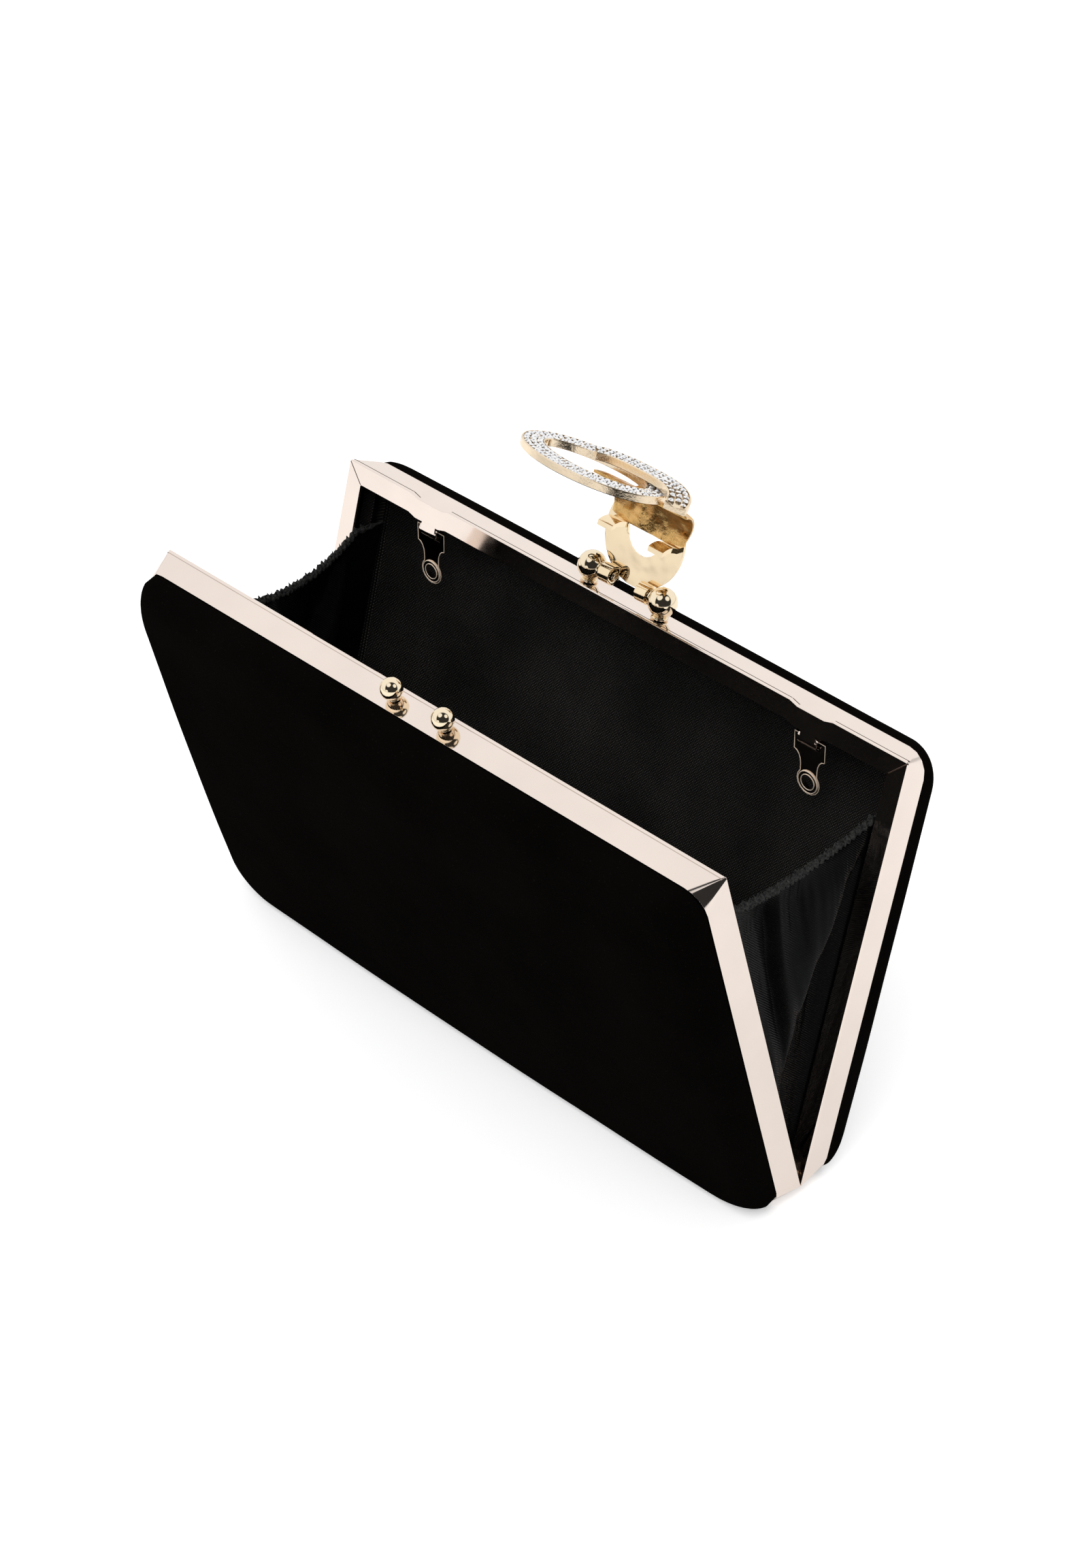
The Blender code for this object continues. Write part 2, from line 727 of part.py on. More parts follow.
def add_tab_loop(name, x, parent, material):
    """Rolled sheet loop whose tongue goes up behind the lip."""
    mesh = bmesh.new()
    centre = Vector((x, tab_axis_depth, tab_axis_height))
    add_rod(mesh, centre, "X", loop_radius, loop_length, ball_sides)
    piece = add_piece(name, mesh, parent, material)
    tongue_top = tab_axis_drop - sheet - dip_depth - seat_gap
    tongue = bmesh.new()
    add_box(tongue, centre + Vector((-tongue_width / 2, -loop_radius, 0)),
            centre + Vector((tongue_width / 2, -loop_radius + loop_wall, tongue_top)))
    boolean(piece, "UNION", name + "_tongue", tongue)
    bore = bmesh.new()
    add_rod(bore, centre, "X", loop_radius - loop_wall, loop_length + 2 * overrun, ball_sides)
    boolean(piece, "DIFFERENCE", name + "_bore", bore)
    slit = bmesh.new()
    half_slit = loop_slit / 2
    add_box(slit, centre + Vector((-loop_length, -half_slit, 0)),
            centre + Vector((loop_length, half_slit, loop_radius + overrun)))
    boolean(piece, "DIFFERENCE", name + "_slit", slit)
    return piece


def gusset_point(sign, across, height, inward=0.0):
    """A point of a gusset at rest: across runs from -1 on the front tray to 1 on the rear tray."""
    side = 1 if across >= 0 else -1
    tuck_share = 0.82
    lip_x = frame_width / 2 - lip_width - seat_gap - gusset
    band_x = frame_width / 2 - sheet - seat_gap - gusset / 2
    turned = Matrix.Rotation(-side * half_angle, 3, "X")
    mouth = turned @ Vector((0, side * mouth_gap / 2, height - hinge_rise))
    if abs(across) > tuck_share:
        tucked = (abs(across) - tuck_share) / (1 - tuck_share)
        depth = mouth_gap / 2 + gusset_tuck_depth * tucked
        x = lip_x + (band_x - lip_x) * tucked ** 2
        place = turned @ Vector((0, side * depth, height - hinge_rise))
        return Vector((sign * (x - inward), place.y, place.z))
    share = across / tuck_share
    tall = (height - gusset_low) / (frame_height - gusset_drop - gusset_low)
    fold = gusset_fold * tall * (1 - math.cos(2 * math.pi * gusset_folds * share)) / 2
    draw = gusset_draw * tall * (1 - share ** 2)
    z = mouth.z - gusset_sag * tall * (1 - share ** 2)
    return Vector((sign * (lip_x - fold - draw - inward), abs(mouth.y) * share, z))


def add_gusset(name, sign, parent, material):
    """Pleated sheet from tray to tray, narrow at the hinge and widest under its elastic edge."""
    mesh = bmesh.new()
    top = frame_height - gusset_drop
    sheets = []
    for inward in (-gusset / 2, gusset / 2):
        rows = []
        for i in range(gusset_steps_up + 1):
            height = gusset_low + (top - gusset_low) * i / gusset_steps_up
            rows.append([mesh.verts.new(gusset_point(sign, 2 * j / gusset_steps_across - 1, height, inward))
                         for j in range(gusset_steps_across + 1)])
        sheets.append(rows)
    near, far = sheets
    for i in range(gusset_steps_up):
        for j in range(gusset_steps_across):
            for rows in sheets:
                mesh.faces.new((rows[i][j], rows[i][j + 1], rows[i + 1][j + 1], rows[i + 1][j]))
        for j in (0, gusset_steps_across):
            mesh.faces.new((near[i][j], near[i + 1][j], far[i + 1][j], far[i][j]))
    for i in (0, gusset_steps_up):
        for j in range(gusset_steps_across):
            mesh.faces.new((near[i][j], near[i][j + 1], far[i][j + 1], far[i][j]))
    return add_piece(name, mesh, parent, material)


def add_elastic(name, sign, parent, material):
    """Ruched elastic that runs along a gusset's top edge."""
    top = frame_height - gusset_drop
    loops = []
    count = 2 * gusset_steps_across
    for j in range(count + 1):
        across = 2 * j / count - 1
        swell = elastic_ripple * (j % 2)
        half = elastic / 2 + swell
        low = seat_gap
        high = seat_gap + elastic_height + swell
        middle = elastic / 2 + elastic_ripple - gusset / 2
        loops.append([gusset_point(sign, across, top + rise, middle + half * side) for side, rise in
                      ((-1, low), (1, low), (1, high), (-1, high))])
    mesh = bmesh.new()
    rows = [[mesh.verts.new(point) for point in loop] for loop in loops]
    for first, second in zip(rows, rows[1:]):
        for i in range(4):
            mesh.faces.new((first[i], first[(i + 1) % 4], second[(i + 1) % 4], second[i]))
    mesh.faces.new(rows[0])
    mesh.faces.new(rows[-1])
    return add_piece(name, mesh, parent, material)


def lowest_pad_point():
    """Height of the velvet's lowest point under the hinge axis, when the bag stands open."""
    turned = Matrix.Rotation(-half_angle, 3, "X")
    return min((turned @ point).z for loop in layer_loops(1, 0.0) for point in loop)


def add_tray(word, side, axis, floor, materials):
    """One half of the bag: frame, shell, foam, velvet, lining and hinge leaf."""
    if side > 0:
        balls = [(sign * post_spacing / 2, post_stem_radius) for sign in (-1, 1)]
    else:
        balls = [(sign * catch_spacing / 2, catch_stem_radius) for sign in (-1, 1)]
    add_frame(word + "_frame", side, axis, materials["frame"], balls)
    add_layer(word + "_shell", side, shell_out, shell_in, axis, materials["board"])
    add_layer(word + "_foam", side, foam_out, foam_in, axis, materials["foam"])
    cover = add_layer(word + "_velvet", side, 0.0, velvet_in, axis, materials["velvet"])
    cut = cover.modifiers.new("rest_cut", "BOOLEAN")
    cut.operation = "DIFFERENCE"
    cut.object = floor
    add_lining(word + "_lining", side, axis, materials["lining"])
    add_hinge_leaf(word + "_hinge_leaf", side, axis, materials["frame"])


def add_floor_cutter(parent, level):
    """A block under the bag that flattens the velvet where the bag stands."""
    mesh = bmesh.new()
    half = frame_width / 2 + overrun
    add_box(mesh, (-half, -half, level - frame_height), (half, half, level))
    cutter = add_piece("rest_cutter", mesh, parent, smooth=False)
    cutter.hide_render = True
    cutter.display_type = "WIRE"
    return cutter


def centre_on_footprint(root):
    """Slide the bag so that the middle of its outline lies over the origin."""
    bpy.context.view_layer.update()
    depths = [(piece.matrix_world @ vertex.co).y for piece in bpy.data.objects
              if piece.type == "MESH" and not piece.hide_render for vertex in piece.data.vertices]
    root.location.y -= (max(depths) + min(depths)) / 2
    bpy.context.view_layer.update()


def main():
    clear_scene()
    materials = {
        "frame": make_material("rose_gold", (0.90, 0.68, 0.55), 0.16, 1.0),
        "clasp": make_material("yellow_gold", (0.93, 0.72, 0.40), 0.18, 1.0),
        "velvet": make_material("black_velvet", (0.010, 0.009, 0.009), 0.95, 0.0),
        "foam": make_material("grey_foam", (0.18, 0.18, 0.18), 0.90, 0.0),
        "board": make_material("grey_board", (0.30, 0.28, 0.26), 0.80, 0.0),
        "lining": make_material("woven_lining", (0.014, 0.013, 0.013), 0.70, 0.0),
        "satin": make_material("black_satin", (0.020, 0.020, 0.022), 0.35, 0.0),
        "elastic": make_material("black_elastic", (0.014, 0.014, 0.015), 0.75, 0.0),
        "stones": make_material("set_ring", (0.90, 0.82, 0.66), 0.12, 1.0),
    }
    floor_level = lowest_pad_point() + rest_cut
    bag = add_empty("bag_axis", place=(0, 0, -floor_level))
    floor = add_floor_cutter(bag, floor_level)
    rear = add_empty("rear_axis", bag, turn=-half_angle)
    front = add_empty("front_axis", bag, turn=half_angle)
    add_tray("rear", 1, rear, floor, materials)
    add_tray("front", -1, front, floor, materials)
    add_hinge_pin(rear, materials["frame"])
    for word, sign in (("left", -1), ("right", 1)):
        add_clasp_post("clasp_post_" + word, sign, rear, materials["clasp"])
        add_catch_ball("catch_ball_" + word, sign, front, materials["clasp"])
        add_tab_loop("tab_loop_" + word, sign * tab_place, rear, materials["frame"])
        place = (sign * tab_place, tab_axis_depth, tab_axis_height)
        tab_axis = add_empty("tab_axis_" + word, rear, place, half_angle)
        add_chain_tab("chain_tab_" + word, tab_axis, materials["frame"])
        add_gusset("gusset_" + word, sign, bag, materials["satin"])
        add_elastic("gusset_elastic_" + word, sign, bag, materials["elastic"])
    clasp = add_empty("clasp_axis", rear, (0, band_middle, pivot_height), -lever_lean)
    add_clasp_plate(clasp, materials["clasp"])
    add_hood(clasp, materials["clasp"])
    add_oval_ring("ornament_ring_large", large_ring_half_length, large_ring_half_height, large_ring_shift,
                  large_ring_forward, large_ring_fullness, 0, 0, None, clasp, materials["stones"])
    add_oval_ring("ornament_ring_small", small_ring_half_length, small_ring_half_height, small_ring_shift,
                  small_ring_forward, small_ring_fullness, ring_weave, ring_droop, small_ring_arc_shares, clasp,
                  materials["stones"])
    centre_on_footprint(bag)
    for name in ("bag_axis", "clasp_axis", "tab_axis_left", "tab_axis_right"):
        print(name, [round(value, 6) for value in bpy.data.objects[name].matrix_world.translation])


main()
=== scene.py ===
"""Studio scene of the clutch bag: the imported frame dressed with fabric, polished metal and stones.

All places are in metres in the row frame. Each tray has a frame of its own, turned about the hinge:
x along the bag, depth behind the mouth, height above the frame's bottom edge.
"""
import math
import random

import bmesh
import bpy
from mathutils import Matrix, Vector, noise
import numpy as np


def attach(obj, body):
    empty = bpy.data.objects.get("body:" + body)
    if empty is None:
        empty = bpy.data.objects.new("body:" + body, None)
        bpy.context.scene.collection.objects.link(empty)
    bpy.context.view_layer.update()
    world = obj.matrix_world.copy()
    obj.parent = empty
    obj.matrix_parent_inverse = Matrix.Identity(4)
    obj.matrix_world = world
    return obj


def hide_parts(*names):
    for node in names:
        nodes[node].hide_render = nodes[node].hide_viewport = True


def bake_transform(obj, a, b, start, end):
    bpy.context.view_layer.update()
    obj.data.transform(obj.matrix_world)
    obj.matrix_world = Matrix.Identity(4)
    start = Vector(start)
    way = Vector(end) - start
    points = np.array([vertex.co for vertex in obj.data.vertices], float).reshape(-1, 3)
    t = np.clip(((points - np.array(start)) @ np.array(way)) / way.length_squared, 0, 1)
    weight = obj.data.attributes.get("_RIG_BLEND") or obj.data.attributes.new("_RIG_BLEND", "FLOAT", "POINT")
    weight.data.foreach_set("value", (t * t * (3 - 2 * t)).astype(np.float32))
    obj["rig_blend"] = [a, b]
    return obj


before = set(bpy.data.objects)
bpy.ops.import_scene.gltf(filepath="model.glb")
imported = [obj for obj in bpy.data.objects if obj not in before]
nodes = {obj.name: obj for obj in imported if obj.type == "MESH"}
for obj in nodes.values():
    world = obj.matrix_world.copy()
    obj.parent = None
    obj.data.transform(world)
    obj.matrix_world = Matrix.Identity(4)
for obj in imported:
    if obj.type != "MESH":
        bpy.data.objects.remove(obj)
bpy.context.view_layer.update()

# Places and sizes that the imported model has
HINGE = Vector((0.0, -0.000234, 0.004459))
CLASP = Vector((0.0, 0.035155, 0.116742))
HALF_ANGLE = math.radians(15.4)
LEVER_LEAN = math.radians(5)
HINGE_RISE = 0.00175
GAP_HALF = 0.0004
WIDTH = 0.190
HEIGHT = 0.115
BAND = 0.0078
SHEET = 0.0007
LIP = 0.0052
SEAT = 0.0003
PAD_INSET = 0.0001
PAD_WALL = 0.0026
PAD_RADIUS = 0.005
PAD_CROWN = 0.0040
CROWN_SPREAD = 1.2
RIM_CORNER = 0.0065
PAD_CORNER = 0.0115
LEAST_CORNER = 0.001
RIPPLE_SCALE, RIPPLE = 38, 0.00018
COVER = 0.0027
LINING = 0.0006
LINING_IN = 0.0051
RING_BAND = 0.0060
RING_HALF_THICK = 0.0010
RING_ALONG = 0.0274
RING_WEAVE_EASE = 0.06
PLATE_FRONT = 0.0017
# Half length, half height, shift, forward, fullness, weave, droop, shares of a turn (none for a whole ring)
RINGS = {
    "ornament_ring_large": (0.0220, 0.0130, -0.0093, 0.0142, 2.0, 0.0, 0.0, None),
    "ornament_ring_small": (0.0185, 0.0105, 0.0020, 0.0160, 2.5, 0.0028, 0.0016, (0.026, 0.422)),
}
HOOD = 0.0012
HOOD_FOOT, HOOD_BEND, HOOD_REACH, HOOD_BULGE = 0.0140, 0.0160, 0.0105, 0.0012
HOOD_HALF, HOOD_FLARE, HOOD_SHIFT, HOOD_LEAN = 0.0120, 0.0035, 0.0012, 0.0028
DIP_PLACE, DIP_HALF, DIP_FLAT, DIP_DEPTH = 0.06498, 0.0068, 0.0042, 0.0007
GUSSET_LOW = 0.0075
GUSSET_DROP = 0.0190
GUSSET_SAG = 0.0050
GUSSET_DRAW = 0.0022
CLOTH_THICK, CLOTH_CLEAR = 0.0003, 0.0006
# Share of the cloth's width beyond which it lies in a tray, how far it runs in and how much it rises there
TUCK_SHARE, TUCK_RUN, TUCK_RISE = 0.86, 0.0095, 0.0018
STONE_PITCH, STONE_RADIUS, STONE_ROW_GAP = 0.00172, 0.00084, 0.00168
STONE_SUNK, STONE_LEAN, STONE_SPIN = 0.00015, 0.22, 0.8

# Camera, solved from the photograph's corners
CAMERA_PLACE = Vector((0.541642, -0.528649, 0.625090))
CAMERA_RIGHT = Vector((0.703652, 0.710542, -0.002133))
CAMERA_DOWN = Vector((0.416934, -0.415319, -0.808503))
CAMERA_FORWARD = Vector((-0.575361, 0.568015, -0.588489))
CAMERA_LENS = 87.592
SENSOR = 36.0


def tray_matrix(side):
    """From a tray's own frame to the row frame; side is 1 for the rear tray and -1 for the front one."""
    return (Matrix.Translation(HINGE) @ Matrix.Rotation(-side * HALF_ANGLE, 4, "X")
            @ Matrix.Diagonal((1, side, 1, 1)) @ Matrix.Translation((0, GAP_HALF, -HINGE_RISE)))


def clasp_matrix():
    """From the clasp lever's frame to the row frame: z along the plate, y to the back."""
    return Matrix.Translation(CLASP) @ Matrix.Rotation(-HALF_ANGLE - LEVER_LEAN, 4, "X")


# ---------------------------------------------------------------- node helpers
def new_material(name):
    made = bpy.data.materials.new(name)
    made.use_nodes = True
    tree = made.node_tree
    shader = tree.nodes["Principled BSDF"]
    return made, tree, shader


def add_node(tree, kind, inputs=None, **settings):
    made = tree.nodes.new(kind)
    for name, value in settings.items():
        setattr(made, name, value)
    for name, value in (inputs or {}).items():
        if isinstance(value, bpy.types.NodeSocket):
            tree.links.new(value, made.inputs[name])
        else:
            made.inputs[name].default_value = value
    return made


def math_node(tree, operation, *values):
    made = tree.nodes.new("ShaderNodeMath")
    made.operation = operation
    for socket, value in zip(made.inputs, values):
        if isinstance(value, bpy.types.NodeSocket):
            tree.links.new(value, socket)
        else:
            socket.default_value = value
    return made.outputs[0]


def ramp(tree, value, low, high, first, last):
    """Map low..high of value to first..last."""
    made = add_node(tree, "ShaderNodeMapRange", {"Value": value, "From Min": low, "From Max": high,
                                                 "To Min": first, "To Max": last})
    return made.outputs["Result"]


def colour_mix(tree, factor, first, second):
    made = add_node(tree, "ShaderNodeMix", data_type="RGBA")
    for name, value in (("Factor", factor), ("A", first), ("B", second)):
        socket = [s for s in made.inputs if s.name == name and (name == "Factor" or s.type == "RGBA")][0]
        if isinstance(value, bpy.types.NodeSocket):
            tree.links.new(value, socket)
        else:
            socket.default_value = value
    return [s for s in made.outputs if s.type == "RGBA"][0]


def bump(tree, shader, height, distance, onto=None):
    made = add_node(tree, "ShaderNodeBump", {"Height": height, "Distance": distance, "Strength": 1.0})
    if onto is not None:
        tree.links.new(onto, made.inputs["Normal"])
    tree.links.new(made.outputs["Normal"], shader.inputs["Normal"])
    return made.outputs["Normal"]


def noise_node(tree, vector, scale, detail=3.0, rough=0.55):
    made = add_node(tree, "ShaderNodeTexNoise", {"Vector": vector, "Scale": scale, "Detail": detail,
                                                 "Roughness": rough})
    return made.outputs["Fac"]


# ---------------------------------------------------------------- materials
def polished(name, colour, rough_low, rough_high, cast=0.0, dents=0.0, metallic=1.0):
    """Plated metal: polishing haze and faint waviness, and a cast-rough skin and dents where they are set."""
    made, tree, shader = new_material(name)
    place = add_node(tree, "ShaderNodeTexCoord").outputs["Object"]
    haze = noise_node(tree, place, 140.0, 4.0)
    tree.links.new(ramp(tree, haze, 0.35, 0.7, rough_low, rough_high), shader.inputs["Roughness"])
    shader.inputs["Metallic"].default_value = metallic
    tint = noise_node(tree, place, 60.0, 2.0)
    darker = tuple(c * 0.96 for c in colour) + (1.0,)
    tree.links.new(colour_mix(tree, ramp(tree, tint, 0.35, 0.65, 0.0, 1.0), (*colour, 1.0), darker),
                   shader.inputs["Base Color"])
    wave = noise_node(tree, place, 55.0, 1.0)
    normal = bump(tree, shader, wave, 0.00006)
    if dents:
        normal = bump(tree, shader, noise_node(tree, place, 170.0, 1.0, 0.5), dents, onto=normal)
    if cast:
        grain = noise_node(tree, place, 900.0, 4.0, 0.7)
        bump(tree, shader, grain, cast, onto=normal)
    return made


def velvet_material():
    made, tree, shader = new_material("black_velvet")
    place = add_node(tree, "ShaderNodeTexCoord").outputs["Object"]
    mottled = noise_node(tree, place, 26.0, 5.0, 0.62)
    pile = noise_node(tree, place, 2600.0, 3.0, 0.7)
    lint = noise_node(tree, place, 2300.0, 2.0, 0.5)
    base = colour_mix(tree, ramp(tree, mottled, 0.35, 0.7, 0.0, 1.0), (0.0020, 0.0017, 0.0015, 1),
                      (0.0034, 0.0029, 0.0026, 1))
    specks = ramp(tree, lint, 0.66, 0.82, 0.0, 0.22)
    base = colour_mix(tree, specks, base, (0.050, 0.042, 0.038, 1))
    tree.links.new(base, shader.inputs["Base Color"])
    tree.links.new(ramp(tree, pile, 0.3, 0.7, 0.82, 1.0), shader.inputs["Roughness"])
    shader.inputs["Specular IOR Level"].default_value = 0.0
    shader.inputs["Sheen Weight"].default_value = 0.006
    shader.inputs["Sheen Roughness"].default_value = 0.4
    shader.inputs["Sheen Tint"].default_value = (0.78, 0.70, 0.64, 1)
    both = math_node(tree, "ADD", math_node(tree, "MULTIPLY", pile, 0.7),
                     math_node(tree, "MULTIPLY", mottled, 0.4))
    bump(tree, shader, both, 0.00022)
    return made


def weave_material(name, side, pitch, base, light, rough, depth):
    """Plain weave in a tray's own plane: two crossed waves of threads, each over and under the other, the
    raised threads coloured lighter as a painted highlight.
    """
    made, tree, shader = new_material(name)
    place = add_node(tree, "ShaderNodeTexCoord").outputs["Object"]
    flat = add_node(tree, "ShaderNodeMapping", {"Vector": place, "Rotation": (side * HALF_ANGLE, 0, 0)},
                    vector_type="POINT")
    wander = noise_node(tree, place, 300.0, 2.0)
    parts = add_node(tree, "ShaderNodeSeparateXYZ", {"Vector": flat.outputs["Vector"]})
    turn = 2 * math.pi / pitch
    drift = math_node(tree, "MULTIPLY", wander, 1.2)
    waves = []
    for axis in ("X", "Z"):
        phase = math_node(tree, "ADD", math_node(tree, "MULTIPLY", parts.outputs[axis], turn), drift)
        waves.append(math_node(tree, "SINE", phase))
    crossing = math_node(tree, "MULTIPLY", *waves)
    height = math_node(tree, "ADD", math_node(tree, "ABSOLUTE", crossing),
                       math_node(tree, "MULTIPLY", crossing, 0.35))
    blotch = noise_node(tree, place, 30.0, 3.0)
    # Painted highlight: the raised threads get the lighter colour, patchy with the blotch noise
    lit = math_node(tree, "MULTIPLY", ramp(tree, height, 0.25, 1.1, 0.0, 1.0),
                    ramp(tree, blotch, 0.35, 0.7, 0.35, 1.0))
    tree.links.new(colour_mix(tree, lit, (*base, 1), (*light, 1)), shader.inputs["Base Color"])
    tree.links.new(ramp(tree, height, 0.0, 1.2, rough + 0.15, rough - 0.1), shader.inputs["Roughness"])
    shader.inputs["Specular IOR Level"].default_value = 0.20
    bump(tree, shader, height, depth)
    return made


def satin_material():
    made, tree, shader = new_material("black_satin")
    place = add_node(tree, "ShaderNodeTexCoord").outputs["Object"]
    parts = add_node(tree, "ShaderNodeSeparateXYZ", {"Vector": place})
    wander = math_node(tree, "MULTIPLY", noise_node(tree, place, 160.0, 2.0), 5.0)
    diagonal = math_node(tree, "ADD", math_node(tree, "MULTIPLY", parts.outputs["Y"], 9000.0),
                         math_node(tree, "MULTIPLY", parts.outputs["Z"], 9000.0))
    twill = math_node(tree, "SINE", math_node(tree, "ADD", diagonal, wander))
    blotch = noise_node(tree, place, 45.0, 4.0)
    tree.links.new(colour_mix(tree, ramp(tree, blotch, 0.3, 0.7, 0.0, 1.0), (0.0008, 0.0008, 0.0009, 1),
                              (0.0030, 0.0030, 0.0032, 1)), shader.inputs["Base Color"])
    tree.links.new(ramp(tree, twill, -1.0, 1.0, 0.30, 0.46), shader.inputs["Roughness"])
    shader.inputs["Specular IOR Level"].default_value = 0.065
    shader.inputs["Sheen Weight"].default_value = 0.005
    shader.inputs["Sheen Roughness"].default_value = 0.3
    bump(tree, shader, math_node(tree, "ADD", math_node(tree, "MULTIPLY", twill, 0.5), blotch), 0.00014)
    return made


def elastic_material():
    made, tree, shader = new_material("black_elastic")
    place = add_node(tree, "ShaderNodeTexCoord").outputs["Object"]
    threads = noise_node(tree, place, 1500.0, 3.0, 0.7)
    tree.links.new(colour_mix(tree, ramp(tree, threads, 0.35, 0.7, 0.0, 1.0), (0.0050, 0.0050, 0.0050, 1),
                              (0.060, 0.060, 0.058, 1)), shader.inputs["Base Color"])
    tree.links.new(ramp(tree, threads, 0.3, 0.7, 0.55, 0.8), shader.inputs["Roughness"])
    shader.inputs["Specular IOR Level"].default_value = 0.08
    bump(tree, shader, threads, 0.0003)
    return made


def board_material():
    made, tree, shader = new_material("grey_board")
    place = add_node(tree, "ShaderNodeTexCoord").outputs["Object"]
    fibres = noise_node(tree, place, 420.0, 5.0, 0.65)
    tree.links.new(colour_mix(tree, ramp(tree, fibres, 0.3, 0.7, 0.0, 1.0), (0.24, 0.22, 0.20, 1),
                              (0.33, 0.31, 0.28, 1)), shader.inputs["Base Color"])
    tree.links.new(ramp(tree, fibres, 0.3, 0.7, 0.75, 0.9), shader.inputs["Roughness"])
    bump(tree, shader, fibres, 0.0001)
    return made


def stone_material():
    made, tree, shader = new_material("clear_stone")
    place = add_node(tree, "ShaderNodeTexCoord").outputs["Object"]
    # Painted glint: the near-white colour is speckled lighter with this noise, as sparkle on the stones
    glint = noise_node(tree, place, 900.0, 2.0)
    tree.links.new(colour_mix(tree, ramp(tree, glint, 0.35, 0.65, 0.0, 1.0), (0.80, 0.82, 0.86, 1),
                              (1.0, 0.98, 0.96, 1)), shader.inputs["Base Color"])
    tree.links.new(ramp(tree, glint, 0.3, 0.7, 0.02, 0.05), shader.inputs["Roughness"])
    shader.inputs["Metallic"].default_value = 0.55
    shader.inputs["Coat Weight"].default_value = 1.0
    shader.inputs["Coat Roughness"].default_value = 0.02
    return made


rose_gold = polished("rose_gold", (0.875, 0.765, 0.69), 0.05, 0.10)
plate_gold = polished("plate_gold", (0.93, 0.76, 0.52), 0.06, 0.12, dents=0.00007)
# Painted shade: dark beads for the shade in the frame's seam groove and mitres on the rear tray, pale ones on
# the front tray
seam_shadow = polished("seam_shadow", (0.12, 0.08, 0.06), 0.25, 0.35)
pale_seam_shadow = polished("pale_seam_shadow", (0.58, 0.48, 0.42), 0.15, 0.25)
# Painted highlight for the chain tabs' edges: bright gold that is mostly diffuse, so it shows bright without
# reflections
edge_highlight_gold = polished("edge_highlight_gold", (0.98, 0.82, 0.66), 0.30, 0.40, metallic=0.25)
clasp_gold = polished("yellow_gold", (0.93, 0.79, 0.58), 0.05, 0.11)
cast_gold = polished("cast_gold", (0.74, 0.46, 0.17), 0.07, 0.16, cast=0.0003, dents=0.0030)
set_gold = polished("set_ring", (0.90, 0.74, 0.54), 0.06, 0.13, cast=0.00006)
velvet = velvet_material()
satin = satin_material()
elastic = elastic_material()
board = board_material()
stone = stone_material()
linings = {side: weave_material("woven_lining_" + word, side, 0.00085, (0.0010, 0.0009, 0.0008),
                                (0.1000, 0.0940, 0.0880), 0.55, 0.00014)
           for side, word in ((1, "rear"), (-1, "front"))}


# ---------------------------------------------------------------- mesh helpers
def add_object(name, mesh, material, smooth_angle=50):
    bmesh.ops.recalc_face_normals(mesh, faces=mesh.faces)
    data = bpy.data.meshes.new(name)
    mesh.to_mesh(data)
    mesh.free()
    data.materials.append(material)
    data.shade_smooth()
    data.set_sharp_from_angle(angle=math.radians(smooth_angle))
    made = bpy.data.objects.new(name, data)
    bpy.context.collection.objects.link(made)
    return made


def grid_faces(mesh, rows, closed=False):
    """Faces between neighbouring rows of vertices."""
    count = len(rows[0])
    for first, second in zip(rows, rows[1:]):
        for i in range(count if closed else count - 1):
            j = (i + 1) % count
            mesh.faces.new((first[i], first[j], second[j], second[i]))


def turns(count, offset=0.0):
    """Angles of a full turn in equal steps."""
    return [2 * math.pi * (k + offset) / count for k in range(count)]


def close_rim(mesh, near, far):
    """Faces round the four edges between two sheets of vertices."""
    for first, second in ((near[0], far[0]), (near[-1], far[-1]),
                          ([row[0] for row in near], [row[0] for row in far]),
                          ([row[-1] for row in near], [row[-1] for row in far])):
        grid_faces(mesh, [first, second])


def loft(loops, centres=None):
    """A closed skin through loops of points, fanned to a centre at each end or joined end to end."""
    mesh = bmesh.new()
    rows = [[mesh.verts.new(point) for point in loop] for loop in loops]
    grid_faces(mesh, rows + ([] if centres else [rows[0]]), closed=True)
    for row, centre in zip((rows[0], rows[-1]), centres or ()):
        tip = mesh.verts.new(centre)
        for i in range(len(row)):
            mesh.faces.new((row[i], row[(i + 1) % len(row)], tip))
    return mesh


def dress(name, material, bevel=0.0):
    """Give a CAD node its material, smooth curves and softened edges."""
    node = nodes[name]
    node.data.materials.clear()
    node.data.materials.append(material)
    if bevel:
        node.data.shade_smooth()
        joined = node.modifiers.new("joined_faces", "WELD")
        joined.merge_threshold = 0.00001
        edges = node.modifiers.new("soft_edges", "BEVEL")
        edges.width, edges.segments = bevel, 2
        edges.limit_method, edges.angle_limit = "ANGLE", math.radians(35)
        edges.harden_normals = True
        node.modifiers.new("even_normals", "WEIGHTED_NORMAL")


